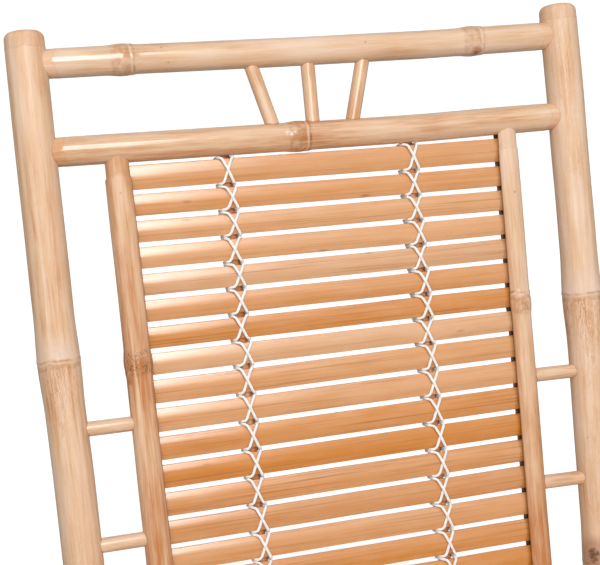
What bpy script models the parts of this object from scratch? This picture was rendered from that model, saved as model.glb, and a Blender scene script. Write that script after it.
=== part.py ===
"""Bamboo rocking chair: coped poles, grooved panel poles, laced slats and bent rockers.

Metres, +Z up. The chair faces -Y, its left is -X, and it stands on Z = 0 with the origin under the middle
of its rockers. Distances down the back start at the crest rail's axis, and distances forward on the seat
start at the rear seat rail's axis.
"""

import math

import bmesh
import bpy
from mathutils import Matrix, Vector

# Fits
CLEARANCE = 0.0003
STOP_SHARE = 0.4
TENON_RADIUS = 0.006
TENON_ROOT = 0.012

# Radii of the poles
POST_RADIUS = 0.019
ROCKER_RADIUS = 0.019
ARM_RADIUS = 0.018
LEG_RADIUS = 0.018
SEAT_RAIL_RADIUS = 0.015
RAIL_RADIUS = 0.014
STRETCHER_RADIUS = 0.013
PANEL_POLE_RADIUS = 0.011
SPINDLE_RADIUS = 0.007
BATTEN_RADIUS = 0.0065

# Facets round a pole
POLE_SIDES = 12
RAIL_SIDES = 10
SPINDLE_SIDES = 8

# Swellings and ends of the poles
KNUCKLE_SWELL = 0.0012
KNUCKLE_REACH = 0.007
END_EASE = 0.006

# Back
RECLINE = math.radians(21.0)
BACK_LENGTH = 0.668
CREST_HALF_WIDTH = 0.270
SIDE_FLARE = 0.0174
PANEL_INSET = 0.072
PANEL_TAPER = 0.0116
TOP_RAIL_RISE = 0.083
POST_CROWN = 0.032
SPINDLE_DROPS = {"upper": 0.262, "lower": 0.372}
FAN_MIDDLE = -0.003
FAN_TOP_SPREAD = 0.058
FAN_FOOT_SPREAD = 0.038

# Slats and their lacing
BACK_SLATS = 24
NARROW_SLATS = 8
NARROW_PITCH = 0.025
BACK_SLAT_SWAY = 0.0165
SEAT_SLATS = 16
SLAT_THICKNESS = 0.005
SLAT_CROWN = 0.0012
SLAT_END_GAP = 0.005
GROOVE_DEPTH = 0.007
CORD_RADIUS = 0.0009
STRAND_GAP = 0.00045
CORD_TAIL = 0.003
BACK_LACING_SPREAD = 0.094
SEAT_LACING_SPREAD = 0.120
MAT_SINK = 0.0004

# Seat, arms and legs
SEAT_REAR_HEIGHT = 0.360
SEAT_DEPTH = 0.460
SEAT_TILT = math.radians(7.0)
SEAT_SETBACK = 0.072
ARM_RISE = 0.176
ARM_PITCH = math.radians(4.0)
ARM_OVERHANG = 0.050
ARM_STRUT_FORWARD = 0.210
LEG_LEAN = math.radians(4.0)
LEG_SPLAY = math.radians(8.0)
BEND_DROP = 0.045
BEND_RADIUS = 0.160
BEND_RINGS = 5
FRONT_STRETCHER_HEIGHT = 0.210
REAR_STRETCHER_HEIGHT = 0.165

# Rockers
ROCKER_AXIS_RADIUS = 1.080
ROCKER_OVERHANG = 0.066
ROCKER_FLAT = 0.060

# Bamboo knuckles, as first distance and spacing
POST_KNUCKLES = {"left": (0.309, 0.268), "right": (0.302, 0.268)}
PANEL_KNUCKLES = {"left": (0.199, 0.240), "right": (0.181, 0.245)}
TOP_RAIL_KNUCKLES = (0.079, 0.361)
CREST_KNUCKLES = (0.242, 0.330)
REAR_RAIL_KNUCKLES = (0.130, 0.310)
FRONT_RAIL_KNUCKLES = (0.180, 0.300)
SEAT_RAIL_KNUCKLES = (0.150, 0.260)
STRETCHER_KNUCKLES = (0.210, 0.300)
ARM_KNUCKLES = (0.120, 0.250)
LEG_KNUCKLES = (0.140, 0.240)
ROCKER_KNUCKLES = (0.160, 0.210)

COLOURS = {
    "bamboo_pole": ((0.72, 0.47, 0.27, 1.0), 0.38),
    "bamboo_slat": ((0.73, 0.42, 0.17, 1.0), 0.34),
    "cotton_cord": ((0.90, 0.88, 0.83, 1.0), 0.85),
}

# Worked out from the sizes above
SLAT_GAP = 4 * CORD_RADIUS + STRAND_GAP + 2 * CLEARANCE
BATTEN_INRADIUS = BATTEN_RADIUS * math.cos(math.pi / SPINDLE_SIDES)
BATTEN_DEPTH = SLAT_THICKNESS / 2 + CLEARANCE + BATTEN_INRADIUS
TENON_STOP = TENON_RADIUS + 2 * CLEARANCE
DOWN_BACK = Vector((0, -math.sin(RECLINE), -math.cos(RECLINE)))
OUT_OF_BACK = Vector((0, -math.cos(RECLINE), math.sin(RECLINE)))
FORWARD = Vector((0, -math.cos(SEAT_TILT), math.sin(SEAT_TILT)))
OUT_OF_SEAT = Vector((0, math.sin(SEAT_TILT), math.cos(SEAT_TILT)))
LEG_UP = Vector((0, math.sin(LEG_LEAN), math.cos(LEG_LEAN)))
ARM_FORWARD = Vector((0, -math.cos(ARM_PITCH), math.sin(ARM_PITCH)))
ACROSS = Vector((1, 0, 0))
REAR_RAIL = Vector((0, SEAT_SETBACK, SEAT_REAR_HEIGHT))
FRONT_RAIL = REAR_RAIL + SEAT_DEPTH * FORWARD
ARM_REAR = REAR_RAIL - ARM_RISE * DOWN_BACK
CREST = REAR_RAIL - BACK_LENGTH * DOWN_BACK
POST_RISE = TOP_RAIL_RISE + POST_CROWN
FLAT_ANGLE = ROCKER_FLAT / 2 / ROCKER_AXIS_RADIUS
ROCKER_INRADIUS = ROCKER_RADIUS * math.cos(math.pi / POLE_SIDES)
ROCKER_CENTRE = Vector((0, 0, (ROCKER_AXIS_RADIUS + ROCKER_INRADIUS) * math.cos(FLAT_ANGLE)))
SIDES = {"left": -1, "right": 1}


def side_x(height):
    """Distance of a side frame from the middle: the two frames flare apart with height."""
    return CREST_HALF_WIDTH - SIDE_FLARE * (CREST.z - height)


def on_side(side, point):
    """A point of the middle plane moved out into a side frame."""
    return Vector((side * side_x(point.z), point.y, point.z))


def on_back(across, down, out=0.0):
    return CREST + across * ACROSS + down * DOWN_BACK + out * OUT_OF_BACK


def on_seat(across, forward, out=0.0):
    return REAR_RAIL + across * ACROSS + forward * FORWARD + out * OUT_OF_SEAT


def panel_x(down):
    """Distance of a grooved back pole from the middle: the panel narrows towards the seat."""
    return CREST_HALF_WIDTH - PANEL_INSET - PANEL_TAPER * down


def crossing(point, heading, other, bearing):
    """Where two lines of the middle plane cross."""
    gap = other - point
    turn = heading.y * bearing.z - heading.z * bearing.y
    return point + heading * ((gap.y * bearing.z - gap.z * bearing.y) / turn)


def onto_rocker(point, heading):
    """Where a line of the middle plane meets the rocker's axis."""
    offset = point - ROCKER_CENTRE
    along = offset.dot(heading)
    return point + heading * (math.sqrt(along**2 - offset.length_squared + ROCKER_AXIS_RADIUS**2) - along)


def clear_scene():
    for leftover in list(bpy.data.objects):
        bpy.data.objects.remove(leftover, do_unlink=True)


def make_materials():
    looks = {}
    for name, (colour, roughness) in COLOURS.items():
        look = bpy.data.materials.new(name)
        look.use_nodes = True
        shader = look.node_tree.nodes["Principled BSDF"]
        shader.inputs["Base Color"].default_value = colour
        shader.inputs["Roughness"].default_value = roughness
        shader.inputs["Metallic"].default_value = 0.0
        looks[name] = look
    return looks


class Chair:
    """The empty that carries every piece, and the materials they take."""

    def __init__(self):
        self.looks = make_materials()
        self.stand = bpy.data.objects.new("rocking_chair", None)
        bpy.context.collection.objects.link(self.stand)

    def add(self, name, data, look, place=Matrix()):
        piece = bpy.data.objects.new(name, data)
        bpy.context.collection.objects.link(piece)
        piece.parent = self.stand
        piece.matrix_world = place
        data.materials.append(self.looks[look])
        return piece

    def add_mesh(self, name, bm, look, place=Matrix()):
        bmesh.ops.recalc_face_normals(bm, faces=bm.faces)
        mesh = bpy.data.meshes.new(name)
        bm.to_mesh(mesh)
        bm.free()
        mesh.shade_smooth()
        mesh.set_sharp_from_angle(angle=math.radians(40))
        return self.add(name, mesh, look, place)

    def add_helper(self, name, bm, place=Matrix()):
        """A cutter or a part of a union, which isn't a piece itself."""
        helper = self.add_mesh(name, bm, "bamboo_pole", place)
        helper.hide_render = True
        helper.display_type = "WIRE"
        return helper


def combine(target, other, operation):
    change = target.modifiers.new(other.name, "BOOLEAN")
    change.operation = operation
    change.solver = "EXACT"
    change.object = other


def knuckle_distances(length, first, spacing):
    """Knuckles from the first one on, clear of the pole's end."""
    count = max(0, math.floor((length - first - KNUCKLE_REACH) / spacing) + 1)
    return [first + spacing * index for index in range(count)]


def culm_rings(length, radius, knuckles=(), free_start=False, free_end=False, bends=()):
    """Distance along the pole and radius of each of its rings."""
    rings = {0.0: radius, length: radius}
    for distance in bends:
        if all(abs(distance - knuckle) > 2 * KNUCKLE_REACH for knuckle in knuckles):
            rings[distance] = radius
    for knuckle in knuckles:
        rings[knuckle - KNUCKLE_REACH] = radius
        rings[knuckle] = radius + KNUCKLE_SWELL
        rings[knuckle + KNUCKLE_REACH] = radius
    for free, end, inward in ((free_start, 0.0, 1), (free_end, length, -1)):
        if free:
            for turn in (0, math.pi / 4, math.pi / 2):
                distance = end + inward * END_EASE * (1 - math.cos(turn))
                rings[distance] = radius - END_EASE * (1 - math.sin(turn))
    return sorted(rings.items())


def tube(route, rings, sides, square, grow=0.0):
    """Closed tube through the rings of a route. The direction square stays square to a bent route."""
    step = 0.0001
    bm = bmesh.new()
    loops = []
    for distance, radius in rings:
        heading = (route(distance + step) - route(distance - step)).normalized()
        first = (square - square.dot(heading) * heading).normalized()
        second = heading.cross(first)
        loop = []
        for index in range(sides):
            angle = math.tau * (index + 0.5) / sides
            spoke = math.cos(angle) * first + math.sin(angle) * second
            loop.append(bm.verts.new(route(distance) + (radius + grow) * spoke))
        loops.append(loop)
    for lower, upper in zip(loops, loops[1:]):
        for index in range(sides):
            bm.faces.new((lower[index - 1], lower[index], upper[index], upper[index - 1]))
    bm.faces.new(loops[0])
    bm.faces.new(loops[-1])
    return bm


class Pole:
    """One culm, which other poles are coped to and tenoned into."""

    def __init__(self, chair, name, route, radius, rings, sides, place=Matrix(), hidden=False):
        self.chair = chair
        self.name = name
        self.radius = radius
        self.shape = (route, rings, sides, ACROSS)
        self.place = place
        self.cutter = None
        if hidden:
            self.piece = chair.add_helper(name, tube(*self.shape), place)
        else:
            self.piece = chair.add_mesh(name, tube(*self.shape), "bamboo_pole", place)

    def cut_from(self, piece):
        """Cope a piece to this pole."""
        if self.cutter is None:
            grown = tube(*self.shape, grow=CLEARANCE)
            self.cutter = self.chair.add_helper(self.name + "_cope", grown, self.place)
        combine(piece, self.cutter, "DIFFERENCE")


def straight_pole(chair, name, start, end, radius, rings, sides, hidden=False):
    """A culm that lies along its own Z axis and is placed by its start and heading."""
    turn = Vector((0, 0, 1)).rotation_difference(end - start)
    place = Matrix.Translation(start) @ turn.to_matrix().to_4x4()
    return Pole(chair, name, lambda distance: Vector((0, 0, distance)), radius, rings, sides, place, hidden)


def tenon(pole, mate, crossing_point, heading):
    """A dowel on the pole's end and its hole in the mate. The heading points into the mate."""
    root = crossing_point - heading * (mate.radius + TENON_ROOT)
    tip = crossing_point - heading * TENON_STOP
    for owner, grow, operation, suffix in (
        (pole, 0.0, "UNION", "tenon"),
        (mate, CLEARANCE, "DIFFERENCE", "mortise"),
    ):
        end = tip + heading * grow
        rings = culm_rings((end - root).length, TENON_RADIUS + grow)
        name = f"{pole.name}_{mate.name}_{suffix}"
        dowel = straight_pole(pole.chair, name, root, end, TENON_RADIUS, rings, SPINDLE_SIDES, hidden=True)
        combine(owner.piece, dowel.piece, operation)


def bridge(chair, name, start, end, radius, mates, knuckles=None, sides=RAIL_SIDES, tenoned=True, also=()):
    """Straight pole between the axes of its mates. It is coped to each mate; an end with no mate is free."""
    heading = (end - start).normalized()
    first, last = mates
    begin = start + heading * (STOP_SHARE * first.radius if first else 0.0)
    finish = end - heading * (STOP_SHARE * last.radius if last else 0.0)
    length = (finish - begin).length
    marks = knuckle_distances(length, *knuckles) if knuckles else ()
    rings = culm_rings(length, radius, marks, free_start=first is None, free_end=last is None)
    pole = straight_pole(chair, name, begin, finish, radius, rings, sides)
    for mate in (first, last, *also):
        if mate:
            mate.cut_from(pole.piece)
    if tenoned and first:
        tenon(pole, first, start, -heading)
    if tenoned and last:
        tenon(pole, last, end, heading)
    return pole


def make_rocker(chair, name, side):
    """Bent pole on an arc. The facet at the bottom of the arc is the flat that the chair rests on."""
    front_foot = onto_rocker(FRONT_RAIL, -LEG_UP)
    half_angle = math.asin(-front_foot.y / ROCKER_AXIS_RADIUS) + ROCKER_OVERHANG / ROCKER_AXIS_RADIUS
    length = 2 * half_angle * ROCKER_AXIS_RADIUS
    across = side * side_x(ROCKER_RADIUS) * ACROSS

    def route(distance):
        angle = distance / ROCKER_AXIS_RADIUS - half_angle
        spoke = Vector((0, math.sin(angle), -math.cos(angle)))
        return ROCKER_CENTRE + across + ROCKER_AXIS_RADIUS * spoke

    wing = length / 2 - ROCKER_FLAT / 2
    count = round(wing / ROCKER_FLAT)
    bends = [wing * index / count for index in range(1, count + 1)]
    bends += [length - distance for distance in bends]
    marks = knuckle_distances(length, *ROCKER_KNUCKLES)
    marks = [mark for mark in marks if abs(mark - length / 2) > ROCKER_FLAT]
    rings = culm_rings(length, ROCKER_RADIUS, marks, free_start=True, free_end=True, bends=bends)
    return Pole(chair, name, route, ROCKER_RADIUS, rings, POLE_SIDES)


class PostLine:
    """Middle line of a post: down the reclined back, round a bend under the seat, and down to the rocker."""

    def __init__(self):
        self.top = on_back(0, -POST_RISE)
        self.straight = POST_RISE + BACK_LENGTH + BEND_DROP
        self.bend_start = on_back(0, BACK_LENGTH + BEND_DROP)
        self.bend_length = BEND_RADIUS * (RECLINE + LEG_SPLAY)
        self.leg_start = self.in_bend(self.bend_length)
        self.leg_down = Vector((0, math.sin(LEG_SPLAY), -math.cos(LEG_SPLAY)))
        self.foot = onto_rocker(self.leg_start, self.leg_down)
        self.length = self.straight + self.bend_length + (self.foot - self.leg_start).length

    def in_bend(self, distance):
        angle = distance / BEND_RADIUS - RECLINE
        back = BEND_RADIUS * (math.cos(RECLINE) - math.cos(angle))
        drop = BEND_RADIUS * (math.sin(RECLINE) + math.sin(angle))
        return self.bend_start + Vector((0, back, -drop))

    def at(self, distance):
        if distance <= self.straight:
            return self.top + distance * DOWN_BACK
        if distance <= self.straight + self.bend_length:
            return self.in_bend(distance - self.straight)
        return self.leg_start + (distance - self.straight - self.bend_length) * self.leg_down

    def leg_at_height(self, height):
        return self.leg_start + self.leg_down * ((self.leg_start.z - height) / -self.leg_down.z)


def make_post(chair, name, side, knuckles, line, rocker):
    length = line.length - STOP_SHARE * ROCKER_RADIUS
    step = line.bend_length / (BEND_RINGS - 1)
    bends = [line.straight + step * index for index in range(BEND_RINGS)]
    marks = knuckle_distances(length, *knuckles)
    rings = culm_rings(length, POST_RADIUS, marks, free_start=True, bends=bends)

    def route(distance):
        return on_side(side, line.at(distance))

    post = Pole(chair, name, route, POST_RADIUS, rings, POLE_SIDES)
    rocker.cut_from(post.piece)
    heading = (on_side(side, line.foot) - on_side(side, line.leg_start)).normalized()
    tenon(post, rocker, on_side(side, line.foot), heading)
    return post


def post_axis(side, down):
    return on_side(side, on_back(0, down))


def make_back_frame(chair, posts):
    """Rails between the posts, and the fan of struts between the upper two."""
    both = (posts["left"], posts["right"])
    levels = {
        "top_rail": (-TOP_RAIL_RISE, TOP_RAIL_KNUCKLES),
        "crest_rail": (0.0, CREST_KNUCKLES),
        "rear_seat_rail": (BACK_LENGTH, REAR_RAIL_KNUCKLES),
    }
    rails = {}
    for name, (down, knuckles) in levels.items():
        ends = (post_axis(-1, down), post_axis(1, down))
        rails[name] = bridge(chair, name, *ends, RAIL_RADIUS, both, knuckles)
    upper, lower = rails["top_rail"], rails["crest_rail"]
    for name, step in {"left": -1, "middle": 0, "right": 1}.items():
        top = on_back(FAN_MIDDLE + step * FAN_TOP_SPREAD, -TOP_RAIL_RISE)
        foot = on_back(FAN_MIDDLE + step * FAN_FOOT_SPREAD, 0.0)
        bridge(chair, f"{name}_fan_strut", top, foot, SPINDLE_RADIUS, (upper, lower),
               sides=SPINDLE_SIDES, tenoned=False)
    return rails


def cut_groove(chair, pole, ends, inward, out):
    """Slot along the inner side of a pole for the slats' ends."""
    bm = bmesh.new()
    half = SLAT_THICKNESS / 2 + CLEARANCE
    corners = ((pole.radius - GROOVE_DEPTH, -half), (2 * pole.radius, -half),
               (2 * pole.radius, half), (pole.radius - GROOVE_DEPTH, half))
    start, finish = ([end + reach * inward + rise * out for reach, rise in corners] for end in ends)
    loops = [[bm.verts.new(point) for point in loop] for loop in (start, finish)]
    for index in range(len(corners)):
        bm.faces.new((loops[0][index - 1], loops[0][index], loops[1][index], loops[1][index - 1]))
    bm.faces.new(loops[0])
    bm.faces.new(loops[1])
    groove = chair.add_helper(pole.name + "_groove", bm)
    combine(pole.piece, groove, "DIFFERENCE")


def sway(down):
    """Slope of the hand-laid back slats: level at both rails, and lifted on the right between them."""
    return -BACK_SLAT_SWAY * math.sin(math.pi * down / BACK_LENGTH) ** 2


def add_slat(bm, place, half_length, middle, width, slope=0.0):
    """Add a flat strip with a crowned front to a mesh. The place turns across, along and out into a point."""
    crown_points = 4
    half = width / 2
    outline = [(-half, -SLAT_THICKNESS / 2)]
    for index in range(crown_points + 1):
        share = 2 * index / crown_points - 1
        outline.append((share * half, SLAT_THICKNESS / 2 - SLAT_CROWN * share**2))
    outline.append((half, -SLAT_THICKNESS / 2))
    loops = []
    for across in (-half_length, half_length):
        shift = middle + slope * across
        loops.append([bm.verts.new(place(across, shift + along, out)) for along, out in outline])
    for index in range(len(outline)):
        bm.faces.new((loops[0][index - 1], loops[0][index], loops[1][index], loops[1][index - 1]))
    bm.faces.new(loops[0])
    bm.faces.new(loops[1])


def slat_gaps(length, radius, count, narrow=0, narrow_pitch=0.0):
    """Middles of the gaps before, between and after the slats that fill a panel between two rails.

    The first slats may be narrow ones with a pitch of their own; the others share what is left.
    """
    first = radius + SLAT_END_GAP
    turn = first + narrow * narrow_pitch
    pitch = (length - first - turn) / (count - narrow)
    gaps = [first + narrow_pitch * index for index in range(narrow)]
    return gaps + [turn + pitch * index for index in range(count - narrow + 1)]


def slat_reach(pole_x, radius):
    """Half length of a slat whose ends sit in the grooves of two poles."""
    return pole_x - (radius - GROOVE_DEPTH) - CLEARANCE


def make_back_panel(chair, posts, rails):
    """Grooved poles and spindles, slats held in the grooves, battens behind the slats, and lacing."""
    mates = (rails["crest_rail"], rails["rear_seat_rail"])
    for side_name, side in SIDES.items():
        ends = [on_back(side * panel_x(down), down) for down in (0.0, BACK_LENGTH)]
        pole = bridge(chair, f"{side_name}_back_pole", *ends, PANEL_POLE_RADIUS, mates,
                      PANEL_KNUCKLES[side_name], tenoned=False)
        cut_groove(chair, pole, ends, -side * ACROSS, OUT_OF_BACK)
        for level, down in SPINDLE_DROPS.items():
            bridge(chair, f"{side_name}_{level}_spindle", post_axis(side, down),
                   on_back(side * panel_x(down), down), SPINDLE_RADIUS, (posts[side_name], pole),
                   sides=SPINDLE_SIDES, tenoned=False)
        batten = [on_back(side * BACK_LACING_SPREAD, down, -BATTEN_DEPTH) for down in (0.0, BACK_LENGTH)]
        bridge(chair, f"{side_name}_back_batten", *batten, BATTEN_RADIUS, mates,
               sides=SPINDLE_SIDES, tenoned=False)
    gaps = slat_gaps(BACK_LENGTH, RAIL_RADIUS, BACK_SLATS, NARROW_SLATS, NARROW_PITCH)
    for number, (upper, lower) in enumerate(zip(gaps, gaps[1:]), start=1):
        bm = bmesh.new()
        middle = (upper + lower) / 2
        reach = slat_reach(panel_x(middle), PANEL_POLE_RADIUS)
        add_slat(bm, on_back, reach, middle, lower - upper - SLAT_GAP, sway(middle))
        chair.add_mesh(f"back_slat_{number:02d}", bm, "bamboo_slat")
    make_lacing(chair, "back", on_back, BACK_LACING_SPREAD, gaps, sway)


def lacing_points(centre, gaps):
    """Route of one cord: across, along and out of each point.

    On the way down it crosses each slat's front from upper left to lower right, over the strand that comes
    back up from lower left to upper right. In each gap both strands go round the back of the batten.
    """
    side = BATTEN_RADIUS + CLEARANCE + CORD_RADIUS
    front = SLAT_THICKNESS / 2 + CLEARANCE + CORD_RADIUS
    spacing = 2 * CORD_RADIUS + STRAND_GAP
    back = -BATTEN_DEPTH - side
    shift = spacing / 2
    points = [(-CORD_TAIL, gaps[0] + shift, back)]
    for upper, lower in zip(gaps, gaps[1:]):
        points.append((-side, upper + shift, back))
        points.append((-side, upper + shift, front))
        points.append((0.0, (upper + lower) / 2, front + spacing))
        points.append((side, lower - shift, front))
        points.append((side, lower - shift, back))
    points.append((-side, gaps[-1] - shift, back))
    for upper, lower in zip(gaps[-2::-1], gaps[:0:-1]):
        points.append((-side, lower - shift, front))
        points.append((side, upper + shift, front))
        points.append((side, upper + shift, back - spacing))
        points.append((-side, upper - shift, back - spacing))
    points[-1] = (CORD_TAIL, gaps[0] + shift, back - spacing)
    return [(centre + across, along, out) for across, along, out in points]


def segment_distance(first, second):
    """Least distance between two straight pieces of a route."""
    a, b = first
    c, d = second
    u, v, w = b - a, d - c, a - c
    uu, uv, vv, uw, vw = u.dot(u), u.dot(v), v.dot(v), u.dot(w), v.dot(w)
    spread = uu * vv - uv * uv
    s = min(1.0, max(0.0, (uv * vw - vv * uw) / spread)) if spread > 1e-18 else 0.0
    t = min(1.0, max(0.0, (uv * s + vw) / vv))
    s = min(1.0, max(0.0, (uv * t - uw) / uu))
    return (w + s * u - t * v).length


def least_self_gap(points):
    pieces = list(zip(points, points[1:]))
    least = min(
        segment_distance(pieces[low], pieces[high])
        for low in range(len(pieces))
        for high in range(low + 2, len(pieces))
    )
    return least - 2 * CORD_RADIUS


def make_lacing(chair, panel, place, spread, gaps, slope=lambda along: 0.0):
    """One unbroken cord on each side of a panel, through the gaps as the slats' slope shifts them there."""
    for side_name, side in SIDES.items():
        name = f"{side_name}_{panel}_lacing"
        shifted = [gap + slope(gap) * side * spread for gap in gaps]
        points = [place(*point) for point in lacing_points(side * spread, shifted)]
        print(f"{name}: least gap to itself {1000 * least_self_gap(points):.2f} mm")
        cord = bpy.data.curves.new(name, "CURVE")
        cord.dimensions = "3D"
        cord.bevel_depth = CORD_RADIUS
        cord.bevel_resolution = 1
        cord.use_fill_caps = True
        spline = cord.splines.new("POLY")
        spline.points.add(len(points) - 1)
        for knot, point in zip(spline.points, points):
            knot.co = (*point, 1.0)
        chair.add(name, cord, "cotton_cord")


def make_side_frames(chair, line, posts, rockers):
    """Armrests, front legs, and the joints they share with the posts and the rockers."""
    leg_top = crossing(FRONT_RAIL, LEG_UP, ARM_REAR, ARM_FORWARD)
    leg_foot = onto_rocker(FRONT_RAIL, -LEG_UP)
    arm_front = leg_top + ARM_OVERHANG * ARM_FORWARD
    arms = {}
    legs = {}
    for name, side in SIDES.items():
        arms[name] = bridge(chair, f"{name}_armrest", on_side(side, arm_front), on_side(side, ARM_REAR),
                            ARM_RADIUS, (None, posts[name]), ARM_KNUCKLES, sides=POLE_SIDES)
        legs[name] = bridge(chair, f"{name}_front_leg", on_side(side, leg_foot), on_side(side, leg_top),
                            LEG_RADIUS, (rockers[name], arms[name]), LEG_KNUCKLES, sides=POLE_SIDES)
    front = crossing(FRONT_RAIL, LEG_UP, Vector((0, 0, FRONT_STRETCHER_HEIGHT)), Vector((0, 1, 0)))
    rear = line.leg_at_height(REAR_STRETCHER_HEIGHT)
    for name, point, mates in (("front_stretcher", front, legs), ("rear_stretcher", rear, posts)):
        bridge(chair, name, on_side(-1, point), on_side(1, point), STRETCHER_RADIUS,
               (mates["left"], mates["right"]), STRETCHER_KNUCKLES)
    return arms, legs


def make_seat(chair, posts, rails, arms, legs):
    """Front rail, grooved side rails, arm struts, slats on their battens, and lacing."""
    front_rail = bridge(chair, "front_seat_rail", on_side(-1, FRONT_RAIL), on_side(1, FRONT_RAIL),
                        RAIL_RADIUS, (legs["left"], legs["right"]), FRONT_RAIL_KNUCKLES)
    rear_rail = rails["rear_seat_rail"]
    strut_foot = on_seat(0, ARM_STRUT_FORWARD)
    strut_top = crossing(strut_foot, OUT_OF_SEAT, ARM_REAR, ARM_FORWARD)
    for name, side in SIDES.items():
        ends = (on_side(side, FRONT_RAIL), on_side(side, REAR_RAIL))
        rail = bridge(chair, f"{name}_seat_rail", *ends, SEAT_RAIL_RADIUS, (legs[name], posts[name]),
                      SEAT_RAIL_KNUCKLES, also=(front_rail, rear_rail))
        cut_groove(chair, rail, ends, -side * ACROSS, OUT_OF_SEAT)
        bridge(chair, f"{name}_arm_strut", on_side(side, strut_foot), on_side(side, strut_top),
               SPINDLE_RADIUS, (rail, arms[name]), sides=SPINDLE_SIDES, tenoned=False)
    gaps = slat_gaps(SEAT_DEPTH, RAIL_RADIUS, SEAT_SLATS)
    make_seat_mat(chair, gaps, front_rail, rear_rail)
    make_lacing(chair, "seat", on_seat, SEAT_LACING_SPREAD, gaps)


def make_seat_mat(chair, gaps, front_rail, rear_rail):
    """Seat slats joined to the two battens under them, which end on the front and rear rails."""
    bm = bmesh.new()
    for rear, front in zip(gaps, gaps[1:]):
        middle = (rear + front) / 2
        rail_x = side_x(on_seat(0, middle).z)
        add_slat(bm, on_seat, slat_reach(rail_x, SEAT_RAIL_RADIUS), middle, front - rear - SLAT_GAP)
    mat = chair.add_mesh("seat_slat_mat", bm, "bamboo_slat")
    depth = SLAT_THICKNESS / 2 + BATTEN_INRADIUS - MAT_SINK
    stops = (STOP_SHARE * RAIL_RADIUS, SEAT_DEPTH - STOP_SHARE * RAIL_RADIUS)
    for name, side in SIDES.items():
        start, end = (on_seat(side * SEAT_LACING_SPREAD, stop, -depth) for stop in stops)
        rings = culm_rings((end - start).length, BATTEN_RADIUS)
        batten = straight_pole(chair, f"{name}_seat_batten", start, end, BATTEN_RADIUS, rings,
                               SPINDLE_SIDES, hidden=True)
        combine(mat, batten.piece, "UNION")
    front_rail.cut_from(mat)
    rear_rail.cut_from(mat)


def main():
    clear_scene()
    chair = Chair()
    line = PostLine()
    rockers = {name: make_rocker(chair, f"{name}_rocker", side) for name, side in SIDES.items()}
    posts = {}
    for name, side in SIDES.items():
        posts[name] = make_post(chair, f"{name}_back_post", side, POST_KNUCKLES[name], line, rockers[name])
    rails = make_back_frame(chair, posts)
    make_back_panel(chair, posts, rails)
    arms, legs = make_side_frames(chair, line, posts, rockers)
    make_seat(chair, posts, rails, arms, legs)


if __name__ == "__main__":
    main()
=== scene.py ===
"""Looks of the bamboo rocking chair, grown over its solids.

Every pole is a bamboo culm swept along the line of its solid, with coped ends and, on all but the thinnest,
knuckles and bud scars. The slats are rows of split bamboo, and the lacing is a twisted cord, drawn along
the solids' route.
"""

import math
import random
from functools import partial
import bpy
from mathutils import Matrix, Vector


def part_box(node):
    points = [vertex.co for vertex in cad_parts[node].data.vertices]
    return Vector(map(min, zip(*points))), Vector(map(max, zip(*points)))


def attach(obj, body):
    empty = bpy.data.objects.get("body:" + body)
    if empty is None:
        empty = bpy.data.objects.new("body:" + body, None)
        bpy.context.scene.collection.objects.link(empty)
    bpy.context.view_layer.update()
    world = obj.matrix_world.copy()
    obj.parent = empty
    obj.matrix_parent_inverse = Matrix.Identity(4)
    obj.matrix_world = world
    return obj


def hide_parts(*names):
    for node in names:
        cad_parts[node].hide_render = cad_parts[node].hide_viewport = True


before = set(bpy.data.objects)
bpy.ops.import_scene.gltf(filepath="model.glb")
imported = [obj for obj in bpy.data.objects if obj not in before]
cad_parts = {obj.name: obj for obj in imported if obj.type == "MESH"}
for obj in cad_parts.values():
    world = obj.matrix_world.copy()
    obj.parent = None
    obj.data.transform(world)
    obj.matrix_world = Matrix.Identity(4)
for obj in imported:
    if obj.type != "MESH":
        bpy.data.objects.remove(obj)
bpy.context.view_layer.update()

from types import SimpleNamespace

import bpy
from bpy.props import FloatProperty, FloatVectorProperty, IntProperty, PointerProperty
from mathutils import Vector

bl_info = {
    "name": "Bamboo rocking chair",
    "version": (1, 0, 0),
    "blender": (4, 5, 0),
    "location": "View3D > Sidebar > Chair",
    "description": "Grows lacquered bamboo culms, split slats and cotton lacing over the chair's solids",
    "category": "Object",
}


def middle(node):
    """Middle of a solid's box, moved into the chair's middle plane."""
    low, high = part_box(node)
    return Vector((0, (low.y + high.y) / 2, (low.z + high.z) / 2))


# Lines that the solids follow, from the boxes of the four level rails
TOP = middle("top_rail")
CREST = middle("crest_rail")
REAR = middle("rear_seat_rail")
FRONT = middle("front_seat_rail")
DOWN = (REAR - CREST).normalized()
OUT = Vector((0, DOWN.z, -DOWN.y))
BACK_LENGTH = (REAR - CREST).length
FORWARD = (FRONT - REAR).normalized()
SEAT_UP = Vector((0, FORWARD.z, -FORWARD.y))
SEAT_DEPTH = (FRONT - REAR).length
ACROSS = Vector((1, 0, 0))
SIDES = {"left": -1, "right": 1}

# The solids' own sizes, in metres and radians, with their counts and slopes
CLEARANCE = 0.0003
STOP_SHARE = 0.4
POST_RADIUS = 0.019
ROCKER_RADIUS = 0.019
ARM_RADIUS = 0.018
LEG_RADIUS = 0.018
SEAT_RAIL_RADIUS = 0.015
RAIL_RADIUS = 0.014
STRETCHER_RADIUS = 0.013
PANEL_POLE_RADIUS = 0.011
SPINDLE_RADIUS = 0.007
BATTEN_RADIUS = 0.0065
CREST_HALF_WIDTH = 0.270
SIDE_FLARE = 0.0174
PANEL_INSET = 0.072
PANEL_TAPER = 0.0116
POST_CROWN = 0.032
SPINDLE_DROPS = {"upper": 0.262, "lower": 0.372}
FAN_MIDDLE = -0.003
FAN_TOP_SPREAD = 0.058
FAN_FOOT_SPREAD = 0.038
BACK_SLATS = 24
NARROW_SLATS = 8
NARROW_PITCH = 0.025
BACK_SLAT_SWAY = 0.0165
SEAT_SLATS = 16
SLAT_THICKNESS = 0.005
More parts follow.
